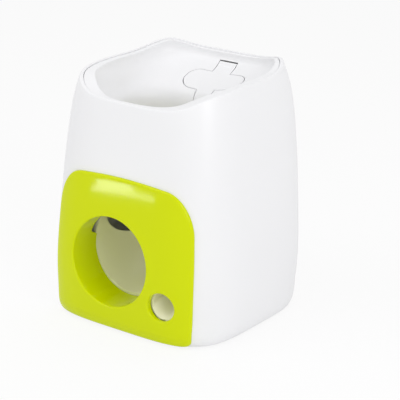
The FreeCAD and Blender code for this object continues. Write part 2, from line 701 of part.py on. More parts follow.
def clip(y, z, x):
    band = (x, x + CLIP_THICKNESS)
    disc = rod_x(y, z, CLIP_RADIUS, band)
    mouth = SHAFT_RADIUS - CLIP_GROOVE
    gap = box(band, (y - mouth * 0.8, y + mouth * 0.8), (z - CLIP_RADIUS * 2, z))
    return without(disc, [rod_x(y, z, mouth, band), gap])


RIGHT_CLIP_X = RIGHT_BRACKET_X + BRACKET_THICKNESS + BUSH_FLANGE_THICKNESS + FIT_GAP
LEFT_CLIP_X = LEFT_BRACKET_X - BUSH_FLANGE_THICKNESS - FIT_GAP - CLIP_THICKNESS
AXLE_CLIP_X = CRADLE_LEFT - CRADLE_PLATE - FIT_GAP - CLIP_THICKNESS


def make_paddle_shaft():
    ends = (LEFT_CLIP_X - SHAFT_PAST_CLIP, RIGHT_CLIP_X + CLIP_THICKNESS + SHAFT_PAST_CLIP)
    return grooved_shaft(PADDLE_Y, PADDLE_HEIGHT, ends, (LEFT_CLIP_X, RIGHT_CLIP_X))


def make_drum_axle():
    ends = (AXLE_CLIP_X - SHAFT_PAST_CLIP, RIGHT_CLIP_X + CLIP_THICKNESS + SHAFT_PAST_CLIP)
    return grooved_shaft(DRUM_Y, DRUM_HEIGHT, ends, (AXLE_CLIP_X, RIGHT_CLIP_X))


def make_paddle_clips():
    return Part.makeCompound([clip(PADDLE_Y, PADDLE_HEIGHT, x) for x in (LEFT_CLIP_X, RIGHT_CLIP_X)])


def make_axle_clips():
    return Part.makeCompound([clip(DRUM_Y, DRUM_HEIGHT, x) for x in (AXLE_CLIP_X, RIGHT_CLIP_X)])


def flank_angle(teeth, radius):
    """Half the tooth's angle at a radius, by the involute of its base circle."""
    pitch = GEAR_MODULE * teeth / 2
    base = pitch * math.cos(PRESSURE_ANGLE)
    half = math.pi / (2 * teeth) - TOOTH_SLACK / (2 * pitch)
    start = math.tan(PRESSURE_ANGLE) - PRESSURE_ANGLE
    pressure = math.acos(min(1.0, base / radius))
    return half + start - (math.tan(pressure) - pressure)


def tooth_points(teeth, centre_angle):
    """Outline of one tooth as (radius, angle), from root to tip and back."""
    pitch = GEAR_MODULE * teeth / 2
    root = pitch - DEDENDUM * GEAR_MODULE
    tip = pitch + ADDENDUM * GEAR_MODULE
    flank = []
    for step in range(FLANK_STEPS + 1):
        radius = root + (tip - root) * step / FLANK_STEPS
        flank.append((radius, flank_angle(teeth, radius)))
    rising = [(radius, centre_angle - half) for radius, half in flank]
    falling = [(radius, centre_angle + half) for radius, half in reversed(flank)]
    return rising + falling


def make_sector_gear():
    spacing = math.tau / SECTOR_TEETH
    mesh = math.radians(MESH_DIRECTION)
    past = math.ceil(math.radians(PADDLE_TURN) / spacing) + 1
    points = [(PADDLE_Y, PADDLE_HEIGHT)]
    for index in range(-past, 2):
        for radius, angle in tooth_points(SECTOR_TEETH, mesh + index * spacing):
            y = PADDLE_Y + radius * math.cos(angle)
            points.append((y, PADDLE_HEIGHT + radius * math.sin(angle)))
    width = (GEAR_X, GEAR_X + GEAR_WIDTH)
    plate = side_plate(points, width)
    hub = rod_x(PADDLE_Y, PADDLE_HEIGHT, SECTOR_HUB, width)
    bore = rod_x(PADDLE_Y, PADDLE_HEIGHT, SHAFT_RADIUS, (-SPAN, SPAN))
    return joined([plate, hub]).cut(bore)


def make_drum_pinion():
    spacing = math.tau / PINION_TEETH
    start = math.radians(MESH_DIRECTION) + math.pi + spacing / 2
    points = []
    for index in range(PINION_TEETH):
        for radius, angle in tooth_points(PINION_TEETH, start + index * spacing):
            y = DRUM_Y + radius * math.cos(angle)
            points.append((y, DRUM_HEIGHT + radius * math.sin(angle)))
    plate = side_plate(points, (GEAR_X, GEAR_X + GEAR_WIDTH))
    return plate.cut(rod_x(DRUM_Y, DRUM_HEIGHT, SHAFT_RADIUS, (-SPAN, SPAN)))


def make_metering_drum():
    drum = rod_x(DRUM_Y, DRUM_HEIGHT, DRUM_RADIUS, (DRUM_LEFT, DRUM_RIGHT))
    pocket = box(
        (DRUM_LEFT + POCKET_SIDE, DRUM_RIGHT - POCKET_SIDE),
        (DRUM_Y - POCKET_HALF, DRUM_Y + POCKET_HALF),
        (DRUM_HEIGHT + POCKET_FLOOR, DRUM_HEIGHT + 2 * DRUM_RADIUS),
    )
    return without(drum, [pocket, rod_x(DRUM_Y, DRUM_HEIGHT, SHAFT_RADIUS, (-SPAN, SPAN))])


def make_drum_cradle():
    shell = rod_x(DRUM_Y, DRUM_HEIGHT, CRADLE_OUTER, (CRADLE_LEFT, CRADLE_RIGHT + CRADLE_WALL))
    left = (CRADLE_LEFT - CRADLE_PLATE, CRADLE_LEFT)
    plate = rod_x(DRUM_Y, DRUM_HEIGHT, CRADLE_OUTER, left)
    leg = box(left, (DRUM_Y - CRADLE_LEG_HALF, DRUM_Y + CRADLE_LEG_HALF), (PLATE_TOP, DRUM_HEIGHT))
    flange, bores = floor_flange(
        (left[0] - FLANGE_WIDTH, left[1]),
        (DRUM_Y - CRADLE_LEG_HALF, DRUM_Y + CRADLE_LEG_HALF),
        FLOOR_SCREWS[3:4],
    )
    mouth_x = (DRUM_LEFT + CRADLE_MOUTH_SIDE, DRUM_RIGHT - CRADLE_MOUTH_SIDE)
    mouth_y = (DRUM_Y - POCKET_HALF - FIT_GAP, DRUM_Y + POCKET_HALF + FIT_GAP)
    mouth = box(mouth_x, mouth_y, (DRUM_HEIGHT - 2 * DRUM_RADIUS, DRUM_HEIGHT + 2 * DRUM_RADIUS))
    inside = rod_x(DRUM_Y, DRUM_HEIGHT, CRADLE_INNER, (CRADLE_LEFT, CRADLE_RIGHT))
    bore = rod_x(DRUM_Y, DRUM_HEIGHT, SHAFT_RADIUS + RUN_GAP, (left[0] - 1, CRADLE_RIGHT + 2 * CRADLE_WALL))
    return without(joined([shell, plate, leg, flange]), [mouth, inside, bore] + bores)


def funnel(low, high):
    """A straight-sided funnel between two level rectangles, each (x range, y range, z)."""
    wires = []
    for x_range, y_range, z in (low, high):
        corners = [
            Vector(x_range[0], y_range[0], z),
            Vector(x_range[1], y_range[0], z),
            Vector(x_range[1], y_range[1], z),
            Vector(x_range[0], y_range[1], z),
        ]
        wires.append(Part.makePolygon(corners + corners[:1]))
    return Part.makeLoft(wires, True, True)


def hopper_form(grow):
    middle = (DRUM_LEFT + DRUM_RIGHT) / 2
    half = HOPPER_OUTLET_HALF + grow
    outlet = ((middle - half, middle + half), (DRUM_Y - half, DRUM_Y + half))
    store = ((HOPPER_LEFT - grow, HOPPER_RIGHT + grow), (HOPPER_FRONT - grow, HOPPER_BACK + grow))
    bottom = DRUM_HEIGHT + CRADLE_OUTER + FIT_GAP
    slope = funnel((*outlet, bottom), (*store, HOPPER_BEND))
    return joined([slope, box(*store, (HOPPER_BEND, BODY_HEIGHT + 10.0))])


def make_treat_hopper():
    outside = hopper_form(HOPPER_WALL)
    inside = hopper_form(0)
    bottom = DRUM_HEIGHT + CRADLE_OUTER + FIT_GAP
    outlet = box(
        ((DRUM_LEFT + DRUM_RIGHT) / 2 - HOPPER_OUTLET_HALF, (DRUM_LEFT + DRUM_RIGHT) / 2 + HOPPER_OUTLET_HALF),
        (DRUM_Y - HOPPER_OUTLET_HALF, DRUM_Y + HOPPER_OUTLET_HALF),
        (bottom - 1, bottom + 1),
    )
    lowered = bowl_air(BOWL_WALL + 2 * FIT_GAP)
    tools = [inside, outlet, lowered]
    for x in HOPPER_SCREW_PLACES:
        z = HOPPER_BEND + HOPPER_FLANGE_HEIGHT / 2
        span = (HOPPER_BACK - 1, HOPPER_BACK + HOPPER_WALL + 1)
        tools.append(rod_y(x, z, SCREW_RADIUS + SCREW_GAP, span))
    top = HOPPER_BEND + HOPPER_FLANGE_HEIGHT
    tools.append(box((-SPAN, SPAN), (0, SPAN), (top, FAR)))
    return without(outside, tools)


def treat_axis_height(y):
    return PORT_HEIGHT + TREAT_TUBE_RISE + (y - TREAT_TUBE_FRONT) * math.tan(TREAT_SLOPE)


def treat_bar(radius, y_range):
    """A round bar along the treat tube's slope, longer than the tube at both ends."""
    start = Vector(TREAT_X, y_range[0], treat_axis_height(y_range[0]))
    end = Vector(TREAT_X, y_range[1], treat_axis_height(y_range[1]))
    return Part.makeCylinder(radius, (end - start).Length, start, end - start)


def make_treat_chute():
    outer = TREAT_TUBE_RADIUS + TREAT_TUBE_WALL
    long = (TREAT_TUBE_FRONT - 2 * outer, TREAT_TUBE_BACK + outer)
    tube = treat_bar(outer, long)
    tube = tube.common(box((0, SPAN), (TREAT_TUBE_FRONT, TREAT_TUBE_BACK), (0, FAR)))
    hollow = treat_bar(TREAT_TUBE_RADIUS, long)
    hollow = hollow.common(box((0, SPAN), (TREAT_TUBE_FRONT - 1, TREAT_TUBE_BACK - TREAT_TUBE_WALL), (0, FAR)))
    post_top = treat_axis_height(TREAT_FOOT_Y)
    post = box((TREAT_X - 3, TREAT_X + 3), (TREAT_FOOT_Y - 2, TREAT_FOOT_Y + 2), (PLATE_TOP, post_top))
    flange, bores = floor_flange(
        (TREAT_X - FLANGE_WIDTH / 2, TREAT_X + FLANGE_WIDTH / 2),
        (TREAT_FOOT_Y - 13.0, TREAT_FOOT_Y + 2),
        FLOOR_SCREWS[4:5],
    )
    cradle = rod_x(
        DRUM_Y, DRUM_HEIGHT, CRADLE_OUTER + FIT_GAP,
        (CRADLE_LEFT - CRADLE_PLATE - FIT_GAP, CRADLE_RIGHT + CRADLE_WALL + FIT_GAP),
    )
    mouth = box(
        (DRUM_LEFT + CRADLE_MOUTH_SIDE, DRUM_RIGHT - CRADLE_MOUTH_SIDE),
        (DRUM_Y - POCKET_HALF - FIT_GAP, DRUM_Y + POCKET_HALF + FIT_GAP),
        (treat_axis_height(DRUM_Y), FAR),
    )
    gear = rod_x(
        DRUM_Y, DRUM_HEIGHT, GEAR_MODULE * (PINION_TEETH / 2 + ADDENDUM) + 1,
        (GEAR_X - 1, GEAR_X + GEAR_WIDTH + 1),
    )
    return without(joined([tube, post, flange]), [hollow, cradle, mouth, gear] + bores)


def bush_bore(x, y, z):
    return rod_x(y, z, BUSH_RADIUS, (x - 1, x + BRACKET_THICKNESS + 1))


def make_right_bracket():
    top = PADDLE_HEIGHT + BRACKET_ABOVE
    outline = (
        (BRACKET_FRONT, PLATE_TOP),
        (RIGHT_BRACKET_FOOT, PLATE_TOP),
        (RIGHT_BRACKET_FOOT, DRUM_HEIGHT - RIGHT_BRACKET_STEP),
        (RIGHT_BRACKET_BACK, DRUM_HEIGHT - BRACKET_ABOVE),
        (RIGHT_BRACKET_BACK, DRUM_HEIGHT + BRACKET_ABOVE),
        (PADDLE_Y + BRACKET_ABOVE, top),
        (BRACKET_FRONT, top),
    )
    x_range = (RIGHT_BRACKET_X, RIGHT_BRACKET_X + BRACKET_THICKNESS)
    plate = side_plate(outline, x_range)
    flange, bores = floor_flange(
        (x_range[0], x_range[1] + FLANGE_WIDTH - 2),
        (BRACKET_FRONT, RIGHT_BRACKET_FOOT),
        FLOOR_SCREWS[0:2],
    )
    bores.append(bush_bore(RIGHT_BRACKET_X, PADDLE_Y, PADDLE_HEIGHT))
    bores.append(bush_bore(RIGHT_BRACKET_X, DRUM_Y, DRUM_HEIGHT))
    return without(joined([plate, flange]), bores)


def make_left_bracket():
    half = PADDLE_Y - BRACKET_FRONT
    x_range = (LEFT_BRACKET_X, LEFT_BRACKET_X + BRACKET_THICKNESS)
    plate = box(x_range, (PADDLE_Y - half, PADDLE_Y + half), (PLATE_TOP, PADDLE_HEIGHT + BRACKET_ABOVE))
    flange, bores = floor_flange(
        (x_range[0] - FLANGE_WIDTH, x_range[1]),
        (PADDLE_Y - half, PADDLE_Y + half),
        FLOOR_SCREWS[2:3],
    )
    bores.append(bush_bore(LEFT_BRACKET_X, PADDLE_Y, PADDLE_HEIGHT))
    leg_hole = (LEFT_BRACKET_X - 1, LEFT_BRACKET_X + BRACKET_THICKNESS + 1)
    bores.append(rod_x(PADDLE_Y, PADDLE_HEIGHT + SPRING_RADIUS, SPRING_WIRE + RUN_GAP, leg_hole))
    return without(joined([plate, flange]), bores)


def bushing(bracket_x, flange_side, y, z):
    """A plain bush in a bracket, with its flange on the outer face."""
    body = rod_x(y, z, BUSH_RADIUS, (bracket_x, bracket_x + BRACKET_THICKNESS))
    if flange_side > 0:
        start = bracket_x + BRACKET_THICKNESS
    else:
        start = bracket_x - BUSH_FLANGE_THICKNESS
    flange = rod_x(y, z, BUSH_FLANGE, (start, start + BUSH_FLANGE_THICKNESS))
    bore = rod_x(y, z, SHAFT_RADIUS + RUN_GAP, (bracket_x - 5, bracket_x + BRACKET_THICKNESS + 5))
    return joined([body, flange]).cut(bore)


def make_shaft_bushings():
    return Part.makeCompound([
        bushing(LEFT_BRACKET_X, -1, PADDLE_Y, PADDLE_HEIGHT),
        bushing(RIGHT_BRACKET_X, 1, PADDLE_Y, PADDLE_HEIGHT),
        bushing(RIGHT_BRACKET_X, 1, DRUM_Y, DRUM_HEIGHT),
    ])


def make_return_spring():
    """A torsion spring round the shaft, one leg in the bracket and one in the hub's groove."""
    coil_end = HUB_LEFT - FIT_GAP - SPRING_WIRE
    coil_start = coil_end - SPRING_TURNS * SPRING_PITCH

    def on_coil(turn):
        angle = math.tau * turn
        y = PADDLE_Y + SPRING_RADIUS * math.sin(angle)
        z = PADDLE_HEIGHT + SPRING_RADIUS * math.cos(angle)
        return Vector(coil_start + SPRING_PITCH * turn, y, z)

    first = on_coil(0)
    last = on_coil(SPRING_TURNS)
    into_bracket = Vector(LEFT_BRACKET_X + 0.5, first.y, first.z)
    into_hub = Vector(HUB_LEFT + SPRING_LEG, last.y, last.z)
    edges = []
    quarters = 4 * SPRING_TURNS
    for quarter in range(quarters):
        ends = [on_coil((quarter + share) / 4) for share in (0, 0.5, 1)]
        edges.append(Part.Arc(*ends).toShape())
    start = edges[0].tangentAt(edges[0].FirstParameter)
    profile = Part.Wire(Part.Circle(first, start, SPRING_WIRE).toShape())
    coil = Part.Wire(edges).makePipeShell([profile], True, False)
    legs = [
        Part.makeCylinder(SPRING_WIRE, (into_bracket - first).Length, first, into_bracket - first),
        Part.makeCylinder(SPRING_WIRE, (into_hub - last).Length, last, into_hub - last),
    ]
    for piece in legs + [Part.makeSphere(SPRING_WIRE, first), Part.makeSphere(SPRING_WIRE, last)]:
        coil = coil.fuse(piece)
    return coil


def make_base_plate():
    half = BODY_WIDTH / 2 - BODY_SECTIONS[0][1] - WALL - FIT_GAP
    depth = (BODY_DEPTH - PANEL_PROUD) / 2 - BODY_SECTIONS[0][1] - WALL - FIT_GAP
    exponent = BODY_SECTIONS[0][2]
    rings = [ring((0, BODY_MIDDLE_Y), (half, depth), exponent, z, BODY_SEAM) for z in (FOOT_HEIGHT, PLATE_TOP)]
    plate = Part.makeLoft(rings, True, True)
    bores = []
    for side, end in corner_signs():
        x = side * BASE_BOSS_PLACE
        y = BODY_MIDDLE_Y + end * BASE_BOSS_PLACE
        bores.append(rod_z(x, y, SCREW_RADIUS + SCREW_GAP, (0, PLATE_TOP + 1)))
        sink = (FOOT_HEIGHT - 1, FOOT_HEIGHT + SCREW_HEAD_HEIGHT)
        bores.append(rod_z(x, y, SCREW_HEAD_RADIUS + FIT_GAP, sink))
    for x, y in FLOOR_SCREWS:
        bores.append(rod_z(x, y, SCREW_RADIUS + SCREW_GAP, (FOOT_HEIGHT + 0.5, PLATE_TOP + 1)))
    return without(plate, bores)


def make_rubber_feet():
    feet = []
    for side, end in corner_signs():
        foot = rod_z(side * FOOT_PLACE, BODY_MIDDLE_Y + end * FOOT_PLACE, FOOT_RADIUS, (0, FOOT_HEIGHT))
        low_edge = [edge for edge in foot.Edges if edge.BoundBox.ZMax < FOOT_HEIGHT / 2]
        feet.append(foot.makeFillet(FOOT_ROUND, low_edge))
    return Part.makeCompound(feet)


def make_base_screws():
    height = FOOT_HEIGHT + SCREW_HEAD_HEIGHT
    places = [(side * BASE_BOSS_PLACE, BODY_MIDDLE_Y + end * BASE_BOSS_PLACE, height)
              for side, end in corner_signs()]
    return Part.makeCompound([screw_at(place, BASE_SCREW_GRIP, UP) for place in places])


def make_bowl_screws():
    height = BOWL_POST_FOOT - LUG_HEIGHT
    places = [(side * BOWL_POST_PLACE, BODY_MIDDLE_Y + end * BOWL_POST_PLACE, height)
              for side, end in corner_signs()]
    return Part.makeCompound([screw_at(place, LUG_HEIGHT + BOWL_SCREW_GRIP, UP) for place in places])


def make_panel_screws():
    screws = []
    for x, z in PANEL_BOSS_PLACES:
        screws.append(screw_at((x, front_of_body(x, z) + WALL + FIT_GAP, z), PANEL_SCREW_GRIP, BACK * -1))
    return Part.makeCompound(screws)


def make_floor_screws():
    height = PLATE_TOP + FLANGE_THICKNESS
    return Part.makeCompound([screw_at((x, y, height), height - FOOT_HEIGHT - 1, UP * -1)
                              for x, y in FLOOR_SCREWS])


def make_hopper_screws():
    height = HOPPER_BEND + HOPPER_FLANGE_HEIGHT / 2
    return Part.makeCompound([screw_at((x, HOPPER_BACK, height), HOPPER_WALL + HOPPER_SCREW_GRIP, BACK)
                              for x in HOPPER_SCREW_PLACES])


MAKERS = {
    "housing": make_housing,
    "front_panel": make_front_panel,
    "top_bowl": make_top_bowl,
    "treat_lid": make_treat_lid,
    "lid_hinge_pin": make_lid_hinge_pin,
    "ball_chute": make_ball_chute,
    "trigger_paddle": make_trigger_paddle,
    "paddle_shaft": make_paddle_shaft,
    "paddle_clips": make_paddle_clips,
    "return_spring": make_return_spring,
    "sector_gear": make_sector_gear,
    "drum_pinion": make_drum_pinion,
    "metering_drum": make_metering_drum,
    "drum_axle": make_drum_axle,
    "axle_clips": make_axle_clips,
    "drum_cradle": make_drum_cradle,
    "treat_hopper": make_treat_hopper,
    "treat_chute": make_treat_chute,
    "left_bracket": make_left_bracket,
    "right_bracket": make_right_bracket,
    "shaft_bushings": make_shaft_bushings,
    "base_plate": make_base_plate,
    "rubber_feet": make_rubber_feet,
    "base_screws": make_base_screws,
    "bowl_screws": make_bowl_screws,
    "panel_screws": make_panel_screws,
    "floor_screws": make_floor_screws,
    "hopper_screws": make_hopper_screws,
}


def describe(name, shape):
    bound = shape.optimalBoundingBox()
    lows = [round(value, 2) for value in (bound.XMin, bound.YMin, bound.ZMin)]
    highs = [round(value, 2) for value in (bound.XMax, bound.YMax, bound.ZMax)]
    print(name, len(shape.Solids), "valid", shape.isValid(), "volume", round(shape.Volume, 1), lows, highs)


def main():
    os.makedirs("parts", exist_ok=True)
    for name, maker in MAKERS.items():
        shape = maker()
        shape.exportStep("parts/" + name + ".step")
        describe(name, shape)


if __name__ == "__main__":
    main()
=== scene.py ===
"""Ball-drop treat dispenser: the visible skins, finishes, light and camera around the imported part."""

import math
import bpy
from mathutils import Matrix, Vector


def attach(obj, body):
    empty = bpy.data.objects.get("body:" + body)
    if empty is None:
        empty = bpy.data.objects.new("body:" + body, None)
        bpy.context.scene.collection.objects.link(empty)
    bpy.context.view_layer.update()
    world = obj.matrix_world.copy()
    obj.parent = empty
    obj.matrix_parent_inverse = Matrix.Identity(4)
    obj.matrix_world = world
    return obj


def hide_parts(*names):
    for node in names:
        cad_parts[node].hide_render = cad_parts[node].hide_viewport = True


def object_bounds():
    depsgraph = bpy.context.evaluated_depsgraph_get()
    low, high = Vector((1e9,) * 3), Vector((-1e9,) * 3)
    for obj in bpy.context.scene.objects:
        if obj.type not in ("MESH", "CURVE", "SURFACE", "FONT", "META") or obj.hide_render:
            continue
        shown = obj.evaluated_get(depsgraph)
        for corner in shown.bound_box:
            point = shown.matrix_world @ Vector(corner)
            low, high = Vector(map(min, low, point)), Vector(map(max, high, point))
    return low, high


bl_info = {
    "name": "Ball-drop treat dispenser",
    "version": (1, 0, 0),
    "blender": (4, 5, 0),
    "location": "View3D > Sidebar > Dispenser",
    "description": "Builds the smooth shell, panel, bowl, lid and chutes of a ball-drop treat dispenser",
    "category": "Add Mesh",
}

import bmesh
import bpy
import numpy as np
from mathutils import Matrix, Vector
from mathutils.geometry import delaunay_2d_cdt

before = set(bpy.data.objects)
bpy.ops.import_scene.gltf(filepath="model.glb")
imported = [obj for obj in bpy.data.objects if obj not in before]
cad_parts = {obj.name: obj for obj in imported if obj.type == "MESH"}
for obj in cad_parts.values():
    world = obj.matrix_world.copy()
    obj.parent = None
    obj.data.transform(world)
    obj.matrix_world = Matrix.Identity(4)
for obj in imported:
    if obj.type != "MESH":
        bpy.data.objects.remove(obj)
CAD_LOW, CAD_HIGH = [list(corner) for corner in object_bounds()]
MM = 0.001

# Fixed form of the body, in millimetres: height, inset from the widest half width, squareness
BODY_SECTIONS = (
    (1.5, 3.1, 4.2), (5.5, 1.8, 4.25), (16.0, 0.7, 4.25), (40.0, 0.0, 4.3), (65.0, 0.6, 4.3),
    (90.0, 2.1, 4.35), (115.0, 3.8, 4.4), (140.0, 6.0, 4.45), (165.0, 8.7, 4.4),
    (185.0, 12.1, 4.2), (197.0, 15.6, 4.1), (210.0, 19.1, 4.0),
)
# Air in the bowl: depth below the top, centre x and y, half sizes, squareness
BOWL_SECTIONS = (
    (72.0, -8.2, -15.0, 36.0, 36.0, 2.0), (60.0, -8.2, -15.0, 36.0, 36.0, 2.0),
    (50.0, -8.2, -15.0, 36.0, 36.0, 2.0), (41.0, -8.2, -15.0, 36.5, 36.5, 2.0),
    (35.0, -8.2, -15.0, 38.3, 38.3, 2.0), (30.0, -8.2, -15.0, 42.0, 42.0, 2.1),
    (22.0, -5.0, -9.5, 49.0, 51.5, 2.7), (13.0, -1.2, -0.6, 56.6, 57.6, 3.6),
    (4.0, 0.0, 0.7, 57.6, 57.6, 4.3), (-15.0, 0.0, 1.0, 51.5, 51.5, 4.4),
)
BODY_HALF = 80.0
DEPTH_LESS = 1.0
FOOT_HEIGHT = 1.5
FOOT_PLACE = 46.0
FOOT_RADIUS = 8.0
FOOT_ROUND = 0.6
FOOT_CUP = 0.3
BODY_MIDDLE_Y = 1.0
RIM_HALF = 65.0
RIM_SQUARENESS = 4.6
RIM_GUESS = 185.0
TUBE_END = 136.0
BALL_X = -8.2
EXIT_HEIGHT = 55.2
TREAT_X = 40.6
PORT_HEIGHT = 31.1
TUNNEL_END_LOW = -50.0
BEVEL_START = 62.5
BEVEL_SLOPE = 2.0
BEVEL_DEPTH = 8.5
LID_X = 2.0
HINGE_Y = 56.0
HINGE_HEIGHT = 183.1
HINGE_SWEEP = 5.6
LID_DROP = 12.8
LID_BOTTOM = 155.0
TAB_HALF = 8.0
EAR_WIDTH = 3.2
BASE_BOSS_PLACE = 59.5
BASE_BOSS_RADIUS = 5.0
BASE_BOSS_LENGTH = 18.0
PLATE_TOP = 4.5
POST_PLACE = 54.0
POST_FOOT = 150.0
POST_RADIUS = 4.0
FRONT_POST_LENGTH = 26.0
BACK_POST_LENGTH = 36.0
LUG_RADIUS = 5.5
LUG_HEIGHT = 8.0
PANEL_BOSS_PLACES = ((-52.0, 18.0), (56.0, 12.0), (-52.0, 92.0), (52.0, 92.0))
PANEL_BOSS_RADIUS = 3.6
EXIT_WALL = 2.0
PORT_WALL = 1.6
HOLE_GAP = 0.3
PANEL_BACK = 0.2
TUNNEL_ROUND = 0.4
# How finely the skins are divided
COLUMNS = 256
SHEET_SPACING = 1.7
OUTLINE_POINTS = 320
SHARP = 35.0
BOWL_SHARP = 50.0
CORNERS = [(side, end) for side in (-1, 1) for end in (-1, 1)]
# Name, place, aim, width, height and share of its power of each light, in metres
LAMPS = (
    ("key", (-0.55, -0.75, 1.05), (0, 0, 0.1), 0.9, 0.9, 1.0),
    ("fill", (1.15, -0.50, 0.62), (0, 0, 0.1), 0.8, 0.8, 1.0),
    ("top", (0.0, 0.05, 1.1), (0, 0, 0.2), 0.6, 0.6, 1.0),
    ("front_strip", (-0.255, -0.44, 0.021), (-0.02, -0.08, 0.105), 0.13, 0.007, 1.0),
    ("front_card", (-0.274, -0.427, 0.031), (-0.02, -0.08, 0.105), 0.053, 0.011, 0.8),
)
CAMERA_PLACE = (0.6180, -0.8713, 0.4425)
CAMERA_RIGHT = (0.8168, 0.5759, 0.0353)
CAMERA_UP = (-0.2095, 0.2389, 0.9482)
CAMERA_BACK = (0.5376, -0.7819, 0.3158)
FLOOR_REACH = 6.0


def length(name, text, default):
    """A size in metres that the sidebar shows in the scene's units."""
    return bpy.props.FloatProperty(
        name=name, description=text, default=default * MM, min=0.0, precision=4,
        subtype="DISTANCE", unit="LENGTH",
    )


def paint(name, text, default):
    return bpy.props.FloatVectorProperty(
        name=name, description=text, default=default, size=3, min=0.0, max=1.0, subtype="COLOR",
    )


def level(name, text, default, highest=1.0):
    return bpy.props.FloatProperty(name=name, description=text, default=default, min=0.0, max=highest)


class DispenserSizes(bpy.types.PropertyGroup):
    """Sizes of the visible skins."""

    wall: length("Shell wall", "Thickness of the outer shell", 2.5)
    lip_round: length("Lip rounding", "Rounding of the shell's top edge", 0.9)
    rim_tilt: length("Rim tilt", "How much the rim rises from the middle to the back", 9.5)
    rim_side: length("Rim side lift", "How much the rim's sides stand above its front and back", 3.3)
    rim_corner: length("Rim corner lift", "How much the rim's corners stand above its sides", 1.9)
    panel_proud: length("Panel proud", "How far the panel stands in front of the shell", 2.0)
    panel_round: length("Panel edge rounding", "Rounding of the panel's outer edge", 1.3)
    lip: length("Opening lip", "Rounding of the edges of the ball exit and the treat port", 1.5)
    exit_radius: length("Ball exit radius", "Radius of the round opening for the ball", 35.0)
    port_radius: length("Treat port radius", "Radius of the round opening for the treats", 11.0)
    seam_drop: length("Rim seam", "How far the bowl's land lies below the shell's lip", 0.8)
    fit_gap: length("Fit gap", "Gap between the shell and the bowl", 0.3)
    bowl_wall: length("Bowl wall", "Thickness of the bowl", 2.0)
    lid_gap: length("Lid gap", "Gap round the treat lid", 0.7)


class DispenserFinishes(bpy.types.PropertyGroup):
    """Colours and surface of the mouldings."""

    shell: paint("Shell", "Colour of the satin white shell and bowl", (0.86, 0.86, 0.875))
    panel: paint("Panel", "Colour of the glossy lime panel", (0.63, 0.72, 0.0))
    # The chutes are white plastic. The yellow-green tint in this colour is painted reflection of light
    # bounced off the lime panel and tunnel.
    chute: paint("Chute", "Colour of the chutes behind the openings", (0.90, 0.89, 0.62))
    natural: paint("Natural plastic", "Colour of the unpainted inner mouldings", (0.78, 0.77, 0.72))
    gear: paint("Gears", "Colour of the gears and clips", (0.80, 0.79, 0.74))
    grey: paint("Grey plastic", "Colour of the brackets", (0.42, 0.43, 0.45))
    rubber: paint("Rubber", "Colour of the feet", (0.035, 0.035, 0.037))
    steel: paint("Steel", "Colour of shafts, pins and screws", (0.58, 0.58, 0.59))
    grain: level("Grain", "Depth of the fine moulded grain", 0.12)


class DispenserStage(bpy.types.PropertyGroup):
    """Light, floor and camera."""

    world: level("Sky", "Strength of the even light all round", 0.71, 5.0)
    key: level("Key light", "Power of the large soft light at the upper left, in watts", 3.6, 500.0)
    fill: level("Fill light", "Power of the soft light at the right, in watts", 4.8, 500.0)
    top: level("Top light", "Power of the soft light above the bowl, in watts", 0.6, 500.0)
    glint: level("Front cards", "Power of the low cards in the panel's gloss, in watts", 0.045, 500.0)
    floor: paint("Floor", "Colour of the floor", (0.90, 0.90, 0.90))
    floor_white: level("Floor white", "Share of plain white in the floor as seen", 0.85)
    lens: bpy.props.FloatProperty(
        name="Lens", description="Focal length of the camera", default=129.3, unit="CAMERA",
    )


def sizes():
    """The sizes of the sidebar, in millimetres."""
    group = bpy.context.scene.dispenser_sizes
    names = DispenserSizes.__annotations__
    return {name: getattr(group, name) / MM for name in names}


def spline(knots, rows):
    """A natural cubic curve through rows of values, as a function of the knots' variable."""
    order = np.argsort(knots)
    x = np.array(knots, float)[order]
    y = np.array(rows, float)[order]
    step = np.diff(x)
    slope = np.diff(y, axis=0) / step[:, None]
    system = np.eye(len(x))
    right = np.zeros_like(y)
    for i in range(1, len(x) - 1):
        system[i, i - 1:i + 2] = step[i - 1], 2 * (step[i - 1] + step[i]), step[i]
        right[i] = 6 * (slope[i] - slope[i - 1])
    bend = np.linalg.solve(system, right)

    def at(value):
        i = min(max(int(np.searchsorted(x, value)) - 1, 0), len(x) - 2)
        a = (x[i + 1] - value) / step[i]
        b = 1 - a
        curve = ((a ** 3 - a) * bend[i] + (b ** 3 - b) * bend[i + 1]) * step[i] ** 2 / 6
        return a * y[i] + b * y[i + 1] + curve

    return at


body_row = spline([row[0] for row in BODY_SECTIONS], [row[1:] for row in BODY_SECTIONS])
bowl_row = spline([row[0] for row in BOWL_SECTIONS], [row[1:] for row in BOWL_SECTIONS])


def rounded_square(angle, half_x, half_y, power):
    along = math.cos(angle)
    across = math.sin(angle)
    reach = (abs(along / half_x) ** power + abs(across / half_y) ** power) ** (-1 / power)
    return reach * along, reach * across


def body_point(angle, z, grow=0.0):
    """Point of the body's outer form, grown by a wall."""
    inset, power = body_row(z)
    half = BODY_HALF - max(inset, 0.0) + grow
    x, y = rounded_square(angle, half, half - DEPTH_LESS, power)
    return Vector((x, BODY_MIDDLE_Y + y, z))


def front_y(x, z, grow=0.0):
    """The y of the body's front face, grown by a wall."""
    inset, power = body_row(z)
    half = BODY_HALF - max(inset, 0.0) + grow
    return BODY_MIDDLE_Y - (half - DEPTH_LESS) * (1 - min(abs(x / half), 1.0) ** power) ** (1 / power)


def bowl_point(angle, depth, grow=0.0):
    """Point of the bowl's inner wall at a depth below the top. Grown, it is the wall's outside."""
    x, y, half_x, half_y, power = bowl_row(depth)
    along, across = rounded_square(angle, half_x + grow, half_y + grow, power)
    return Vector((x + along, y + across, CAD_HIGH[2] / MM - depth - grow))


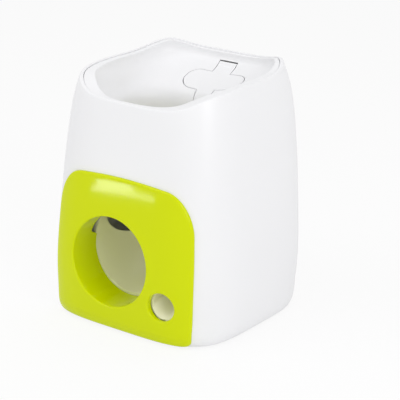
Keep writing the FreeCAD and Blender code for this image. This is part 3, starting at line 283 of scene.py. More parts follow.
def rim_wave(size):
    """Height of the rim's wave as a function of a place seen from above."""
    def rise(angle):
        wave = size["rim_tilt"] * math.sin(angle) + size["rim_side"] * math.cos(2 * angle)
        return wave - size["rim_corner"] * math.cos(4 * angle)

    peak = max(rise(math.radians(step / 4)) for step in range(1440))
    top = CAD_HIGH[2] / MM

    def height(x, y):
        across = abs(x / RIM_HALF) ** RIM_SQUARENESS
        along = abs((y - BODY_MIDDLE_Y) / RIM_HALF) ** RIM_SQUARENESS
        back = math.copysign(math.sqrt(along), y - BODY_MIDDLE_Y)
        right = math.copysign(math.sqrt(across), x)
        return top - peak + rise(math.atan2(back, right))

    return height


def on_body_rim(angle, wave, drop, grow):
    """Where the grown body meets the rim's wave, lowered by drop."""
    z = RIM_GUESS
    for _ in range(6):
        point = body_point(angle, z, grow)
        z = wave(point.x, point.y) - drop
    return z


def on_bowl_rim(angle, wave, drop, grow=0.0):
    """The depth at which the bowl's wall meets the rim's wave, lowered by drop."""
    low, high = -14.0, 40.0
    for _ in range(30):
        middle = (low + high) / 2
        point = bowl_point(angle, middle, grow)
        if point.z > wave(point.x, point.y) - drop:
            low = middle
        else:
            high = middle
    return high


def rounded_corner(before, corner, after, radius, steps=5):
    """Points of a soft corner between two directions."""
    start = corner + (before - corner).normalized() * min(radius, (before - corner).length / 2)
    end = corner + (after - corner).normalized() * min(radius, (after - corner).length / 2)
    points = []
    for step in range(steps + 1):
        t = step / steps
        points.append(start * (1 - t) ** 2 + corner * 2 * t * (1 - t) + end * t ** 2)
    return points


def closed_grid(mesh, columns):
    """Faces between neighbouring columns of points round an axis, each column a closed loop."""
    rows = len(columns[0])
    verts = [[mesh.verts.new(point * MM) for point in column] for column in columns]
    count = len(columns)
    for i in range(count):
        for j in range(rows):
            a, b = verts[i], verts[(i + 1) % count]
            mesh.faces.new((a[j], a[(j + 1) % rows], b[(j + 1) % rows], b[j]))


def lathe(mesh, profile, axis, origin, segments=48):
    """A closed turned form: profile of (radius, along) pairs that starts and ends on the axis."""
    axis = Vector(axis)
    side = axis.orthogonal().normalized()
    up = axis.cross(side)
    origin = Vector(origin)
    rings = []
    for radius, along in profile:
        if radius == 0:
            rings.append([mesh.verts.new((origin + axis * along) * MM)])
            continue
        ring = []
        for index in range(segments):
            angle = math.tau * index / segments
            out = side * math.cos(angle) + up * math.sin(angle)
            ring.append(mesh.verts.new((origin + axis * along + out * radius) * MM))
        rings.append(ring)
    for low, high in zip(rings, rings[1:]):
        for i in range(segments):
            j = (i + 1) % segments
            corners = [low[i % len(low)], low[j % len(low)], high[j % len(high)], high[i % len(high)]]
            mesh.faces.new(list(dict.fromkeys(corners)))


def post(mesh, radius, height, foot, axis=(0, 0, 1)):
    """A plain round post that stands on foot."""
    lathe(mesh, [(0, 0), (radius, 0), (radius, height), (0, height)], axis, foot, 32)


def circle(x, z, radius, count):
    """Evenly spaced (x, z) points on a circle."""
    turns = [math.tau * i / count for i in range(count)]
    return [(x + radius * math.cos(turn), z + radius * math.sin(turn)) for turn in turns]


def quarter(count):
    """Sine and cosine shortfalls of evenly spaced angles from 0 to a right angle."""
    turns = [math.pi / 2 * step / count for step in range(count + 1)]
    return [(1 - math.sin(turn), 1 - math.cos(turn)) for turn in turns]


def block(mesh, low, high):
    """A plain box between two corners."""
    made = bmesh.ops.create_cube(mesh, size=1.0)
    centre = [(a + b) / 2 * MM for a, b in zip(low, high)]
    for vert in made["verts"]:
        vert.co = [c + v * (b - a) * MM for c, v, a, b in zip(centre, vert.co, low, high)]


def finished(name, mesh, material, sharp=SHARP, weld=True):
    """Turns a bmesh into a named object with outward faces and smooth shading up to an angle."""
    if weld:
        bmesh.ops.remove_doubles(mesh, verts=mesh.verts, dist=1e-6)
    bmesh.ops.recalc_face_normals(mesh, faces=mesh.faces)
    data = bpy.data.meshes.new(name)
    mesh.to_mesh(data)
    mesh.free()
    return as_object(name, data, material, sharp)


def shaded(data, sharp):
    data.shade_smooth()
    data.set_sharp_from_angle(angle=math.radians(sharp))


def as_object(name, data, material, sharp=SHARP):
    piece = bpy.data.objects.new(name, data)
    bpy.context.collection.objects.link(piece)
    data.materials.clear()
    data.materials.append(material)
    shaded(data, sharp)
    return piece


def opened(piece):
    """A bmesh that holds the piece's mesh, for more to be added."""
    mesh = bmesh.new()
    mesh.from_mesh(piece.data)
    return mesh


def closed(piece, mesh, sharp=SHARP):
    """Puts the bmesh back in the piece."""
    mesh.to_mesh(piece.data)
    mesh.free()
    shaded(piece.data, sharp)


def carved(piece, tools, operation="DIFFERENCE", sharp=SHARP):
    """Cuts tool meshes from a piece, or keeps what they share, and drops the tools."""
    for tool in tools:
        cut = piece.modifiers.new(operation.lower(), "BOOLEAN")
        cut.operation = operation
        cut.solver = "EXACT"
        cut.object = tool
    baked = baked_mesh(piece)
    material = piece.data.materials[0]
    name = piece.name
    bpy.data.objects.remove(piece)
    for tool in tools:
        bpy.data.objects.remove(tool)
    return as_object(name, baked, material, sharp)


def baked_mesh(piece):
    """The piece's mesh with its modifiers applied."""
    graph = bpy.context.evaluated_depsgraph_get()
    return bpy.data.meshes.new_from_object(piece.evaluated_get(graph), depsgraph=graph)


def tool(name, build):
    """A closed mesh used to cut another one."""
    mesh = bmesh.new()
    build(mesh)
    return finished(name, mesh, finish("satin_white"))


def rod(axis, origin, radius, near, far, segments=96):
    """Builder of a plain round bar along an axis."""
    profile = [(0, near), (radius, near), (radius, far), (0, far)]
    return lambda mesh: lathe(mesh, profile, axis, origin, segments)


def welded(node):
    """A merged copy of a CAD node's mesh."""
    mesh = bmesh.new()
    mesh.from_mesh(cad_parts[node].data)
    bmesh.ops.remove_doubles(mesh, verts=mesh.verts, dist=2e-6)
    data = bpy.data.meshes.new(node + "_skin")
    mesh.to_mesh(data)
    mesh.free()
    return data


def finish(name):
    """One of the materials that the finishes operator has made."""
    return bpy.data.materials[name]


def moulding(name, colour, roughness, grain, grain_size=0.0006, mottle=0.03,
             specular=0.5, metallic=0.0, scratch=0.0):
    """A plastic, rubber or metal surface: fine grain, slight mottling of gloss and colour."""
    material = bpy.data.materials.new(name)
    material.use_nodes = True
    tree = material.node_tree
    shader = tree.nodes["Principled BSDF"]
    shader.inputs["Metallic"].default_value = metallic
    shader.inputs["Specular IOR Level"].default_value = specular
    place = tree.nodes.new("ShaderNodeTexCoord")
    cloud = tree.nodes.new("ShaderNodeTexNoise")
    cloud.inputs["Scale"].default_value = 22.0
    cloud.inputs["Detail"].default_value = 3.0
    tree.links.new(place.outputs["Object"], cloud.inputs["Vector"])
    tint = tree.nodes.new("ShaderNodeMix")
    tint.data_type = "RGBA"
    tint.inputs["A"].default_value = (*[c * (1 - mottle) for c in colour], 1)
    tint.inputs["B"].default_value = (*[min(1.0, c * (1 + mottle)) for c in colour], 1)
    tree.links.new(cloud.outputs["Fac"], tint.inputs["Factor"])
    tree.links.new(tint.outputs["Result"], shader.inputs["Base Color"])
    gloss = tree.nodes.new("ShaderNodeMapRange")
    gloss.inputs["To Min"].default_value = roughness * 0.88
    gloss.inputs["To Max"].default_value = roughness * 1.12
    tree.links.new(cloud.outputs["Fac"], gloss.inputs["Value"])
    tree.links.new(gloss.outputs["Result"], shader.inputs["Roughness"])
    fine = tree.nodes.new("ShaderNodeTexNoise")
    fine.inputs["Scale"].default_value = 1.0 / grain_size
    fine.inputs["Detail"].default_value = 2.0
    if scratch:
        turn = tree.nodes.new("ShaderNodeMapping")
        turn.inputs["Scale"].default_value = (scratch, 1.0, 1.0)
        tree.links.new(place.outputs["Object"], turn.inputs["Vector"])
        tree.links.new(turn.outputs["Vector"], fine.inputs["Vector"])
    else:
        tree.links.new(place.outputs["Object"], fine.inputs["Vector"])
    relief = tree.nodes.new("ShaderNodeBump")
    relief.inputs["Strength"].default_value = grain
    relief.inputs["Distance"].default_value = 0.0001
    tree.links.new(fine.outputs["Fac"], relief.inputs["Height"])
    tree.links.new(relief.outputs["Normal"], shader.inputs["Normal"])
    return material


# Node, finish and material slot of the CAD nodes that are shown as they are
CARRIED = {
    "lid_hinge_pin": ("bright_steel", "steel"),
    "paddle_shaft": ("bright_steel", "steel"),
    "drum_axle": ("bright_steel", "steel"),
    "return_spring": ("bright_steel", "steel"),
    "bowl_screws": ("bright_steel", "steel"),
    "panel_screws": ("bright_steel", "steel"),
    "floor_screws": ("bright_steel", "steel"),
    "hopper_screws": ("bright_steel", "steel"),
    "paddle_clips": ("gear_plastic", "acetal"),
    "axle_clips": ("gear_plastic", "acetal"),
    "shaft_bushings": ("gear_plastic", "acetal"),
    "sector_gear": ("gear_plastic", "acetal"),
    "drum_pinion": ("gear_plastic", "acetal"),
    "left_bracket": ("grey_moulding", "grey_plastic"),
    "right_bracket": ("grey_moulding", "grey_plastic"),
    "drum_cradle": ("natural_moulding", "natural_plastic"),
}
# Node, finish, slot and body of the CAD nodes whose merged copies get smooth curves
SMOOTHED = {
    "ball_chute": ("chute_white_with_painted_lime_reflection", "natural_plastic", "stand"),
    "treat_chute": ("chute_white_with_painted_lime_reflection", "natural_plastic", "stand"),
    "treat_hopper": ("natural_moulding", "natural_plastic", "stand"),
    "metering_drum": ("natural_moulding", "natural_plastic", "drum"),
    "trigger_paddle": ("chute_white_with_painted_lime_reflection", "natural_plastic", "paddle"),
    "base_plate": ("satin_white", "white_shell", "stand"),
}


class DISPENSER_OT_finishes(bpy.types.Operator):
    """Make the finishes and put them on the inner parts"""

    bl_idname = "dispenser.finishes"
    bl_label = "Finishes"

    def execute(self, context):
        look = context.scene.dispenser_finishes
        moulding("satin_white", look.shell, 0.38, look.grain, mottle=0.006)
        moulding("gloss_lime", look.panel, 0.08, look.grain * 0.1,
                 grain_size=0.003, mottle=0.012, specular=0.15)
        # White chute plastic. Its yellow-green tint is painted lime reflection, not the moulding's own
        # colour.
        moulding("chute_white_with_painted_lime_reflection", look.chute, 0.34, look.grain * 0.5, mottle=0.01)
        moulding("natural_moulding", look.natural, 0.42, look.grain, mottle=0.02)
        moulding("gear_plastic", look.gear, 0.36, look.grain * 0.6, mottle=0.02)
        moulding("grey_moulding", look.grey, 0.48, look.grain, mottle=0.04)
        moulding("foot_rubber", look.rubber, 0.75, look.grain * 3, grain_size=0.0004, mottle=0.15)
        moulding("bright_steel", look.steel, 0.28, look.grain,
                 grain_size=0.0003, mottle=0.05, metallic=1.0, scratch=0.1)
        for node, (name, _) in CARRIED.items():
            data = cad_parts[node].data
            if not data.materials:
                data.materials.append(finish(name))
            for index in range(len(data.materials)):
                data.materials[index] = finish(name)
        return {"FINISHED"}


class DISPENSER_OT_shell(bpy.types.Operator):
    """Build the white outer shell with its waved lip and inner bosses"""

    bl_idname = "dispenser.shell"
    bl_label = "Outer shell"

    def execute(self, context):
        size = sizes()
        wave = rim_wave(size)
        wall = size["wall"]
        lip = size["lip_round"]
        foot = 0.5
        bend = quarter(6)
        columns = []
        for index in range(COLUMNS):
            angle = math.tau * index / COLUMNS
            top_out = on_body_rim(angle, wave, 0.0, 0.0)
            top_in = on_body_rim(angle, wave, 0.0, -wall)
            column = [body_point(angle, FOOT_HEIGHT + foot * up, -foot * out) for up, out in quarter(3)]
            column.reverse()
            for step in range(1, 64):
                z = FOOT_HEIGHT + foot + (top_out - lip - FOOT_HEIGHT - foot) * step / 64
                column.append(body_point(angle, z))
            column += [body_point(angle, top_out - lip * down, -lip * back) for down, back in bend]
            for down, back in reversed(bend):
                column.append(body_point(angle, top_in - lip * down, lip * back - wall))
            for step in range(1, 33):
                z = top_in - lip + (FOOT_HEIGHT - top_in + lip) * step / 32
                column.append(body_point(angle, z, -wall))
            columns.append(column)
        mesh = bmesh.new()
        closed_grid(mesh, columns)
        shell = finished("outer_shell", mesh, finish("satin_white"), weld=False)
        holes = (
            (BALL_X, EXIT_HEIGHT, size["exit_radius"] + EXIT_WALL + HOLE_GAP),
            (TREAT_X, PORT_HEIGHT, size["port_radius"] + PORT_WALL + HOLE_GAP),
        )
        shell = carved(shell, [
            tool("bore", rod((0, 1, 0), (x, 0, z), radius, -100, TUNNEL_END_LOW)) for x, z, radius in holes
        ])
        mesh = opened(shell)
        for side, end in CORNERS:
            base = (side * BASE_BOSS_PLACE, BODY_MIDDLE_Y + end * BASE_BOSS_PLACE, PLATE_TOP)
            post(mesh, BASE_BOSS_RADIUS, BASE_BOSS_LENGTH, base)
            lug = (side * POST_PLACE, BODY_MIDDLE_Y + end * POST_PLACE, POST_FOOT - LUG_HEIGHT)
            post(mesh, LUG_RADIUS, LUG_HEIGHT, lug)
        closed(shell, mesh)
        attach(shell, "stand")
        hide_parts("housing")
        return {"FINISHED"}


def panel_outline():
    """The panel seen from the front, as evenly spaced (x, z) points that run round to the left."""
    def arc(a, b, c, count):
        """Points on the circle through three points, from a to c."""
        ax, az, bx, bz, cx, cz = *a, *b, *c
        d = 2 * (ax * (bz - cz) + bx * (cz - az) + cx * (az - bz))
        ux = ((ax**2 + az**2) * (bz - cz) + (bx**2 + bz**2) * (cz - az) + (cx**2 + cz**2) * (az - bz)) / d
        uz = ((ax**2 + az**2) * (cx - bx) + (bx**2 + bz**2) * (ax - cx) + (cx**2 + cz**2) * (bx - ax)) / d
        radius = math.hypot(ax - ux, az - uz)
        start = math.atan2(az - uz, ax - ux)
        turn = math.remainder(math.atan2(cz - uz, cx - ux) - start, math.tau)
        turns = [start + turn * i / count for i in range(count + 1)]
        return [(ux + radius * math.cos(t), uz + radius * math.sin(t)) for t in turns]

    low = FOOT_HEIGHT
    flat = 58.5
    corner = 4.5
    shoulder_x = 38.2
    shoulder_z = 84.0
    right = [(0.0, low), (flat, low)]
    for turn in np.linspace(0, math.pi / 2, 9):
        right.append((flat + corner * math.sin(turn), low + corner * (1 - math.cos(turn))))
    right += arc((flat + corner, low + corner), (64.1, 50.0), (62.6, shoulder_z), 40)
    for turn in np.linspace(0, math.pi / 2, 40):
        right.append((shoulder_x + 24.4 * math.cos(turn), shoulder_z + 36.0 * math.sin(turn)))
    right += arc((shoulder_x, 120.0), (0.0, 122.0), (-shoulder_x, 120.0), 60)[:31]
    points = right + [(-x, z) for x, z in reversed(right)]
    loop = np.array(points + points[:1])
    run = np.concatenate([[0], np.cumsum(np.hypot(*np.diff(loop, axis=0).T))])
    even = np.linspace(0, run[-1], OUTLINE_POINTS, endpoint=False)
    keep = np.concatenate([[True], np.diff(run) > 1e-9])
    ring = np.stack([np.interp(even, run[keep], loop[keep, i]) for i in (0, 1)], 1)
    for _ in range(6):
        ring = (np.roll(ring, 1, 0) + 2 * ring + np.roll(ring, -1, 0)) / 4
    return ring


def sheet_fill(edge, holes, spacing):
    """Triangles of a flat region inside an edge and outside round holes, as points and faces."""
    points = [tuple(p) for p in edge]
    bounds = [(i, (i + 1) % len(edge)) for i in range(len(edge))]
    for x, z, radius, count in holes:
        start = len(points)
        points += circle(x, z, radius, count)
        bounds += [(start + i, start + (i + 1) % count) for i in range(count)]
    low = edge.min(0)
    high = edge.max(0)
    ahead = np.roll(edge, -1, 0) - edge
    margin = 0.7 * spacing
    pitch = spacing * 0.866
    rows = int((high[1] - low[1]) / pitch) + 1
    for row in range(rows):
        z = low[1] + row * pitch
        for column in range(int((high[0] - low[0]) / spacing) + 1):
            x = low[0] + (column + 0.5 * (row % 2)) * spacing
            if any(math.hypot(x - hx, z - hz) < radius + margin for hx, hz, radius, _ in holes):
                continue
            away = np.array((x, z)) - edge
            share = np.clip((away * ahead).sum(1) / (ahead ** 2).sum(1), 0, 1)
            apart = np.hypot(*(away - ahead * share[:, None]).T)
            cross = ahead[:, 0] * away[:, 1] - ahead[:, 1] * away[:, 0]
            if apart.min() >= margin and cross[apart.argmin()] >= 0:
                points.append((x, z))
    made = delaunay_2d_cdt([Vector(p) for p in points], bounds, [], 1, 1e-5)
    faces = []
    for face in made[2]:
        x, z = np.mean([made[0][i] for i in face], 0)
        if all(math.hypot(x - hx, z - hz) > radius * math.cos(math.pi / n) for hx, hz, radius, n in holes):
            faces.append(face)
    return made[0], faces


class DISPENSER_OT_panel(bpy.types.Operator):
    """Build the lime front panel with its ball tunnel and treat port"""

    bl_idname = "dispenser.panel"
    bl_label = "Front panel"

    def execute(self, context):
        size = sizes()
        proud = size["panel_proud"]
        soft = size["panel_round"]
        lip = size["lip"]
        outline = panel_outline()
        along = np.roll(outline, -1, 0) - np.roll(outline, 1, 0)
        inward = np.stack([-along[:, 1], along[:, 0]], 1) / np.hypot(*along.T)[:, None]
        mesh = bmesh.new()

        def surface(x, z, grow):
            return Vector((x, front_y(x, z, grow), z))

        def strip(rings):
            """Quads between closed rings that have as many points as each other."""
            made = [[mesh.verts.new(point * MM) for point in ring] for ring in rings]
            for low, high in zip(made, made[1:]):
                for i in range(len(low)):
                    j = (i + 1) % len(low)
                    mesh.faces.new((low[i], low[j], high[j], high[i]))

        def fill(edge, holes, grow):
            verts, faces = sheet_fill(edge, holes, SHEET_SPACING)
            made = [mesh.verts.new(surface(x, z, grow) * MM) for x, z in verts]
            for face in faces:
                mesh.faces.new([made[i] for i in face])

        rings = [[surface(x, z, PANEL_BACK) for x, z in outline]]
        for down, inset in quarter(7):
            rings.append([surface(x, z, proud - soft * down) for x, z in outline + inward * soft * inset])
        strip(rings)

        collar_end = front_y(TREAT_X, PORT_HEIGHT) + 2.0

        def tunnel_end(z):
            """The tunnel's inner end: further in below, cut back towards the top."""
            return TUNNEL_END_LOW - min(BEVEL_DEPTH, max(0.0, z - BEVEL_START) * BEVEL_SLOPE)

        openings = (
            (BALL_X, EXIT_HEIGHT, size["exit_radius"], EXIT_WALL, 160, tunnel_end),
            (TREAT_X, PORT_HEIGHT, size["port_radius"], PORT_WALL, 72, lambda z: collar_end),
        )
        for x, z, radius, wall, count, end in openings:
            rings = []
            for down, out in quarter(8)[::-1]:
                ring = circle(x, z, radius + lip * out, count)
                rings.append([surface(px, pz, proud - lip * down) for px, pz in ring])
            for share in (0.25, 0.5, 0.75, 1.0):
                ring = []
                for px, pz in circle(x, z, radius, count):
                    near = front_y(px, pz, proud - lip)
                    ring.append(Vector((px, near + (end(pz) - TUNNEL_ROUND - near) * share, pz)))
                rings.append(ring)
            for out in (TUNNEL_ROUND, wall):
                rings.append([Vector((px, end(pz), pz)) for px, pz in circle(x, z, radius + out, count)])
            rings.append([surface(px, pz, PANEL_BACK) for px, pz in circle(x, z, radius + wall, count)])
            strip(rings)
        front_holes = [(x, z, radius + lip, count) for x, z, radius, _, count, _ in openings]
        back_holes = [(x, z, radius + wall, count) for x, z, radius, wall, count, _ in openings]
        fill(outline + inward * soft, front_holes, proud)
        fill(outline, back_holes, PANEL_BACK)
        for x, z in PANEL_BOSS_PLACES:
            root = front_y(x, z, PANEL_BACK) - 0.5
            tip = front_y(x, z) + size["wall"] + size["fit_gap"]
            post(mesh, PANEL_BOSS_RADIUS, tip - root, (x, root, z), (0, 1, 0))
        panel = finished("lime_front_panel", mesh, finish("gloss_lime"), 40.0)
        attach(panel, "stand")
        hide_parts("front_panel")
        return {"FINISHED"}


def bowl_solid(name, size, wave):
    """The whole bowl with its tube and land, before the lid is cut from it."""
    wall = size["bowl_wall"]
    outer = -size["wall"] - size["fit_gap"]
    drop = size["seam_drop"]
    tube_depth = CAD_HIGH[2] / MM - TUBE_END
    columns = []
    for index in range(COLUMNS):
        angle = math.tau * index / COLUMNS
        edge_z = on_body_rim(angle, wave, drop, outer)
        edge = body_point(angle, edge_z, outer)
        under = body_point(angle, edge_z - wall, outer)
        mouth_depth = on_bowl_rim(angle, wave, drop)
        mouth = bowl_point(angle, mouth_depth)
        below = bowl_point(angle, mouth_depth + 2.0)
        column = [under] + rounded_corner(under, edge, mouth, 0.5, 4)
        column += rounded_corner(edge, mouth, below, 1.3, 7)
        inside = np.linspace(mouth_depth + 1.6, tube_depth, 81)[1:]
        column += [bowl_point(angle, depth) for depth in inside]
        back_depth = on_bowl_rim(angle, wave, drop + wall, wall)
        outside = np.linspace(tube_depth - wall, back_depth, 29)
        column += [bowl_point(angle, depth, wall) for depth in outside]
        columns.append(column)
    mesh = bmesh.new()
    closed_grid(mesh, columns)
    return finished(name, mesh, finish("satin_white"), BOWL_SHARP, weld=False)


def lid_cutter(grow):
    """Builders of the lid's outline from above: wide plate, hinge tab behind, finger tongue in front."""
    top = CAD_HIGH[2] / MM - LID_DROP + grow
    side = TAB_HALF + grow
    half = 26.0 + grow
    front = 27.0 - grow
    rear = 47.0 + grow
    turn = 9.0 + grow

    def plate(mesh):
        corners = ((half - turn, rear - turn, 0), (turn - half, rear - turn, 90),
                   (turn - half, front + turn, 180), (half - turn, front + turn, 270))
        ring = []
        for x, y, start in corners:
            for step in range(13):
                angle = math.radians(start + 90 * step / 12)
                ring.append((LID_X + x + turn * math.cos(angle), y + turn * math.sin(angle)))
        low = [mesh.verts.new(Vector((x, y, LID_BOTTOM)) * MM) for x, y in ring]
        high = [mesh.verts.new(Vector((x, y, top)) * MM) for x, y in ring]
        count = len(ring)
        mesh.faces.new(low)
        mesh.faces.new(high)
        for i in range(count):
            mesh.faces.new((low[i], low[(i + 1) % count], high[(i + 1) % count], high[i]))

    def tab(mesh):
        block(mesh, (LID_X - side, 38.0, LID_BOTTOM), (LID_X + side, 58.2 + grow, top))

    def tongue(mesh):
        block(mesh, (LID_X - side, 17.0 - grow, 158.0 - grow), (LID_X + side, 36.0, top))

    return plate, tab, tongue


def lid_tool(grow):
    plate, tab, tongue = [tool("lid_outline", build) for build in lid_cutter(grow)]
    return carved(plate, [tab, tongue], "UNION")


class DISPENSER_OT_bowl(bpy.types.Operator):
    """Build the funnel bowl with its drop tube and the opening for the treat lid"""

    bl_idname = "dispenser.bowl"
    bl_label = "Funnel bowl"

    def execute(self, context):
        size = sizes()
        bowl = bowl_solid("funnel_bowl", size, rim_wave(size))
        reach = TAB_HALF + size["lid_gap"]
        sweep = rod((1, 0, 0), (LID_X, HINGE_Y, HINGE_HEIGHT), HINGE_SWEEP, -reach, reach)
        bowl = carved(bowl, [lid_tool(size["lid_gap"]), tool("hinge_sweep", sweep)])
        mesh = opened(bowl)
        for side in (-1, 1):
            near = LID_X + side * (reach + size["fit_gap"])
            far = near + side * EAR_WIDTH
            low = (min(near, far), HINGE_Y + 1.5, HINGE_HEIGHT - 3.2)
            block(mesh, low, (max(near, far), HINGE_Y + 4.6, HINGE_HEIGHT + 4.0))
        for side, end in CORNERS:
            height = FRONT_POST_LENGTH if end < 0 else BACK_POST_LENGTH
            foot = (side * POST_PLACE, BODY_MIDDLE_Y + end * POST_PLACE, POST_FOOT)
            post(mesh, POST_RADIUS, height, foot)
        closed(bowl, mesh, BOWL_SHARP)
        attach(bowl, "stand")
        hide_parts("top_bowl")
        return {"FINISHED"}


class DISPENSER_OT_lid(bpy.types.Operator):
    """Build the treat lid with its hinge barrel"""

    bl_idname = "dispenser.lid"
    bl_label = "Treat lid"

    def execute(self, context):
        size = sizes()
        lid = bowl_solid("treat_lid_skin", size, rim_wave(size))
        lid = carved(lid, [lid_tool(0.0)], "INTERSECT")
        mesh = opened(lid)
        radius = 2.6
        soft = 0.4
        barrel = [(0, -TAB_HALF), (radius - soft, -TAB_HALF), (radius, soft - TAB_HALF)]
        barrel += [(reach, -along) for reach, along in reversed(barrel)]
        lathe(mesh, barrel, (1, 0, 0), (LID_X, HINGE_Y, HINGE_HEIGHT), 48)
        closed(lid, mesh)
        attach(lid, "lid")
        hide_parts("treat_lid")
        return {"FINISHED"}


class DISPENSER_OT_chutes(bpy.types.Operator):
    """Give the chutes, hopper, drum, paddle and base smooth curves"""

    bl_idname = "dispenser.chutes"
    bl_label = "Chutes and inner mouldings"

    def execute(self, context):
        for node, (name, slot_name, body) in SMOOTHED.items():
            piece = as_object(node + "_skin", welded(node), finish(name), 32.0)
            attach(piece, body)
            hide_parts(node)
        return {"FINISHED"}


def repeat_tree():
    """Node tree that sets copies of its input mesh at the corners of a rectangle."""
    tree = bpy.data.node_groups.new("Four corners", "GeometryNodeTree")
    face = tree.interface
    face.new_socket("Geometry", in_out="INPUT", socket_type="NodeSocketGeometry")
    width = face.new_socket("Width", in_out="INPUT", socket_type="NodeSocketFloat")
    depth = face.new_socket("Depth", in_out="INPUT", socket_type="NodeSocketFloat")
    centre = face.new_socket("Centre", in_out="INPUT", socket_type="NodeSocketVector")
    skin = face.new_socket("Material", in_out="INPUT", socket_type="NodeSocketMaterial")
    face.new_socket("Geometry", in_out="OUTPUT", socket_type="NodeSocketGeometry")
    given = tree.nodes.new("NodeGroupInput")
    grid = tree.nodes.new("GeometryNodeMeshGrid")
    grid.inputs["Vertices X"].default_value = 2
    grid.inputs["Vertices Y"].default_value = 2
    move = tree.nodes.new("GeometryNodeTransform")
    copies = tree.nodes.new("GeometryNodeInstanceOnPoints")
    real = tree.nodes.new("GeometryNodeRealizeInstances")
    coat = tree.nodes.new("GeometryNodeSetMaterial")
    result = tree.nodes.new("NodeGroupOutput")
    join = tree.links.new
    join(given.outputs["Width"], grid.inputs["Size X"])
    join(given.outputs["Depth"], grid.inputs["Size Y"])
    join(grid.outputs["Mesh"], move.inputs["Geometry"])
    join(given.outputs["Centre"], move.inputs["Translation"])
    join(move.outputs["Geometry"], copies.inputs["Points"])
    join(given.outputs["Geometry"], copies.inputs["Instance"])
    join(copies.outputs["Instances"], real.inputs["Geometry"])
    join(real.outputs["Geometry"], coat.inputs["Geometry"])
    join(given.outputs["Material"], coat.inputs["Material"])
    join(coat.outputs["Geometry"], result.inputs["Geometry"])
    return tree, {"width": width.identifier, "depth": depth.identifier,
                  "centre": centre.identifier, "skin": skin.identifier}


def four_of(name, mesh, material, pitch, height, sharp=SHARP):
    """Four copies of a small part at the corners of a square under the body."""
    single = finished(name + "_one", mesh, material, sharp)
    tree, sockets = repeat_tree()
    spread = single.modifiers.new("corners", "NODES")
    spread.node_group = tree
    spread[sockets["width"]] = 2 * pitch * MM
    spread[sockets["depth"]] = 2 * pitch * MM
    spread[sockets["centre"]] = (0.0, BODY_MIDDLE_Y * MM, height * MM)
    spread[sockets["skin"]] = material
    data = baked_mesh(single)
    bpy.data.objects.remove(single)
    return as_object(name, data, material, sharp)


class DISPENSER_OT_underside(bpy.types.Operator):
    """Set the four rubber feet and the four base screws"""

    bl_idname = "dispenser.underside"
    bl_label = "Feet and base screws"

    def execute(self, context):
        mesh = bmesh.new()
        profile = [(0, FOOT_HEIGHT), (FOOT_RADIUS, FOOT_HEIGHT)]
        profile += [(FOOT_RADIUS - FOOT_ROUND * inset, FOOT_ROUND * up) for up, inset in quarter(5)]
        profile += [(5.5, 0.0), (5.2, FOOT_CUP), (0, FOOT_CUP)]
        lathe(mesh, profile, (0, 0, 1), (0, 0, 0), 48)
        feet = four_of("feet", mesh, finish("foot_rubber"), FOOT_PLACE, 0.0)
        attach(feet, "stand")
        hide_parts("rubber_feet")
        mesh = bmesh.new()
        head_radius = 3.0
        shank = 1.5
        profile = [(0, 0.0), (2.2, 0.0), (2.7, 0.25), (head_radius, 0.7), (head_radius, 2.0)]
        profile += [(shank, 2.0), (shank, 15.0), (0, 15.0)]
        lathe(mesh, profile, (0, 0, 1), (0, 0, 0), 32)
        head = finished("screw", mesh, finish("bright_steel"))
        arms = ((0.45, 1.7), (1.7, 0.45))
        head = carved(head, [
            tool("slot", lambda m, x=x, y=y: block(m, (-x, -y, -1.0), (x, y, 1.1))) for x, y in arms
        ])
        mesh = opened(head)
        bpy.data.objects.remove(head)
        screws = four_of("under_screws", mesh, finish("bright_steel"), BASE_BOSS_PLACE, FOOT_HEIGHT)
        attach(screws, "stand")
        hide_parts("base_screws")
        return {"FINISHED"}


def lamp(name, place, aim, width, height, power):
    """A soft rectangular light that isn't itself seen."""
    data = bpy.data.lights.new(name, "AREA")
    data.shape = "RECTANGLE"
    data.size = width
    data.size_y = height
    data.energy = power
    light = bpy.data.objects.new(name, data)
    bpy.context.collection.objects.link(light)
    light.location = place
    light.rotation_euler = (Vector(aim) - Vector(place)).to_track_quat("-Z", "Y").to_euler()
    light.visible_camera = False
    return light


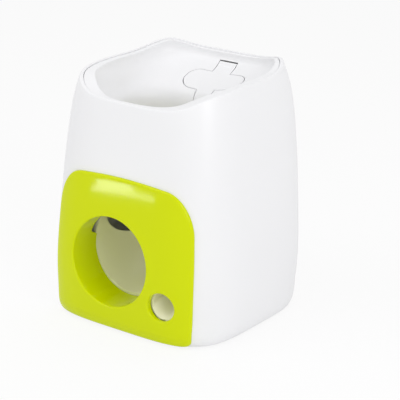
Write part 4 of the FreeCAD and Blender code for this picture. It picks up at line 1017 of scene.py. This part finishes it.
class DISPENSER_OT_stage(bpy.types.Operator):
    """Set the pale floor, the white surroundings, the soft lights and the camera"""

    bl_idname = "dispenser.stage"
    bl_label = "Floor, light and camera"

    @staticmethod
    def seen_by_eye(tree):
        """Socket that is 1 for what the camera sees directly, in gloss or through clear plastic."""
        path = tree.nodes.new("ShaderNodeLightPath")
        result = path.outputs["Is Camera Ray"]
        for name in ("Is Glossy Ray", "Is Transmission Ray"):
            most = tree.nodes.new("ShaderNodeMath")
            most.operation = "MAXIMUM"
            tree.links.new(result, most.inputs[0])
            tree.links.new(path.outputs[name], most.inputs[1])
            result = most.outputs["Value"]
        return result

    def execute(self, context):
        scene = context.scene
        stage = scene.dispenser_stage
        scene.view_settings.view_transform = "Standard"
        world = bpy.data.worlds.new("white_room")
        scene.world = world
        world.use_nodes = True
        tree = world.node_tree
        tree.nodes.clear()
        seen = tree.nodes.new("ShaderNodeBackground")
        seen.inputs["Color"].default_value = (1, 1, 1, 1)
        seen.inputs["Strength"].default_value = 1.0
        light = tree.nodes.new("ShaderNodeBackground")
        light.inputs["Color"].default_value = (1, 1, 1, 1)
        light.inputs["Strength"].default_value = stage.world
        choose = tree.nodes.new("ShaderNodeMixShader")
        out = tree.nodes.new("ShaderNodeOutputWorld")
        tree.links.new(self.seen_by_eye(tree), choose.inputs["Fac"])
        tree.links.new(light.outputs["Background"], choose.inputs[1])
        tree.links.new(seen.outputs["Background"], choose.inputs[2])
        tree.links.new(choose.outputs["Shader"], out.inputs["Surface"])

        mesh = bmesh.new()
        bmesh.ops.create_grid(mesh, x_segments=1, y_segments=1, size=FLOOR_REACH)
        floor_data = bpy.data.meshes.new("floor")
        mesh.to_mesh(floor_data)
        mesh.free()
        floor = bpy.data.objects.new("floor", floor_data)
        bpy.context.collection.objects.link(floor)
        floor_skin = bpy.data.materials.new("pale_floor")
        floor_skin.use_nodes = True
        tree = floor_skin.node_tree
        shader = tree.nodes["Principled BSDF"]
        shader.inputs["Base Color"].default_value = (*stage.floor, 1)
        shader.inputs["Roughness"].default_value = 0.9
        shader.inputs["Specular IOR Level"].default_value = 0.0
        white = tree.nodes.new("ShaderNodeEmission")
        share = tree.nodes.new("ShaderNodeMath")
        share.operation = "MULTIPLY"
        share.inputs[1].default_value = stage.floor_white
        blend = tree.nodes.new("ShaderNodeMixShader")
        tree.links.new(self.seen_by_eye(tree), share.inputs[0])
        tree.links.new(share.outputs["Value"], blend.inputs["Fac"])
        tree.links.new(shader.outputs["BSDF"], blend.inputs[1])
        tree.links.new(white.outputs["Emission"], blend.inputs[2])
        tree.links.new(blend.outputs["Shader"], tree.nodes["Material Output"].inputs["Surface"])
        floor_data.materials.append(floor_skin)

        powers = {
            "key": stage.key, "fill": stage.fill, "top": stage.top,
            "front_strip": stage.glint, "front_card": stage.glint,
        }
        for name, place, aim, width, height, share in LAMPS:
            light = lamp(name, place, aim, width, height, powers[name] * share)
            light.visible_diffuse = not name.startswith("front")

        data = bpy.data.cameras.new("camera")
        data.lens = stage.lens
        data.sensor_width = 36.0
        data.clip_start = 0.05
        data.clip_end = 50.0
        camera = bpy.data.objects.new("camera", data)
        bpy.context.collection.objects.link(camera)
        turn = Matrix((CAMERA_RIGHT, CAMERA_UP, CAMERA_BACK)).transposed()
        camera.matrix_world = Matrix.Translation(CAMERA_PLACE) @ turn.to_4x4()
        scene.camera = camera
        return {"FINISHED"}


STEPS = (
    DISPENSER_OT_finishes,
    DISPENSER_OT_shell,
    DISPENSER_OT_panel,
    DISPENSER_OT_bowl,
    DISPENSER_OT_lid,
    DISPENSER_OT_chutes,
    DISPENSER_OT_underside,
    DISPENSER_OT_stage,
)


class DISPENSER_PT_sidebar(bpy.types.Panel):
    """Lists the dispenser's sizes, finishes, stage and build steps"""

    bl_idname = "DISPENSER_PT_sidebar"
    bl_label = "Treat dispenser"
    bl_space_type = "VIEW_3D"
    bl_region_type = "UI"
    bl_category = "Dispenser"

    def draw(self, context):
        scene = context.scene
        for group in (scene.dispenser_sizes, scene.dispenser_finishes, scene.dispenser_stage):
            part = self.layout.box()
            for name in type(group).__annotations__:
                part.prop(group, name)
        for step in STEPS:
            self.layout.operator(step.bl_idname)


GROUPS = {
    "dispenser_sizes": DispenserSizes,
    "dispenser_finishes": DispenserFinishes,
    "dispenser_stage": DispenserStage,
}


def register():
    for group in GROUPS.values():
        bpy.utils.register_class(group)
    for name, group in GROUPS.items():
        setattr(bpy.types.Scene, name, bpy.props.PointerProperty(type=group))
    for step in STEPS:
        bpy.utils.register_class(step)
    bpy.utils.register_class(DISPENSER_PT_sidebar)


def unregister():
    bpy.utils.unregister_class(DISPENSER_PT_sidebar)
    for step in reversed(STEPS):
        bpy.utils.unregister_class(step)
    for name in GROUPS:
        delattr(bpy.types.Scene, name)
    for group in GROUPS.values():
        bpy.utils.unregister_class(group)


def main():
    register()
    bpy.ops.dispenser.finishes()
    bpy.ops.dispenser.shell()
    bpy.ops.dispenser.panel()
    bpy.ops.dispenser.bowl()
    bpy.ops.dispenser.lid()
    bpy.ops.dispenser.chutes()
    bpy.ops.dispenser.underside()
    bpy.ops.dispenser.stage()


if __name__ == "__main__":
    main()
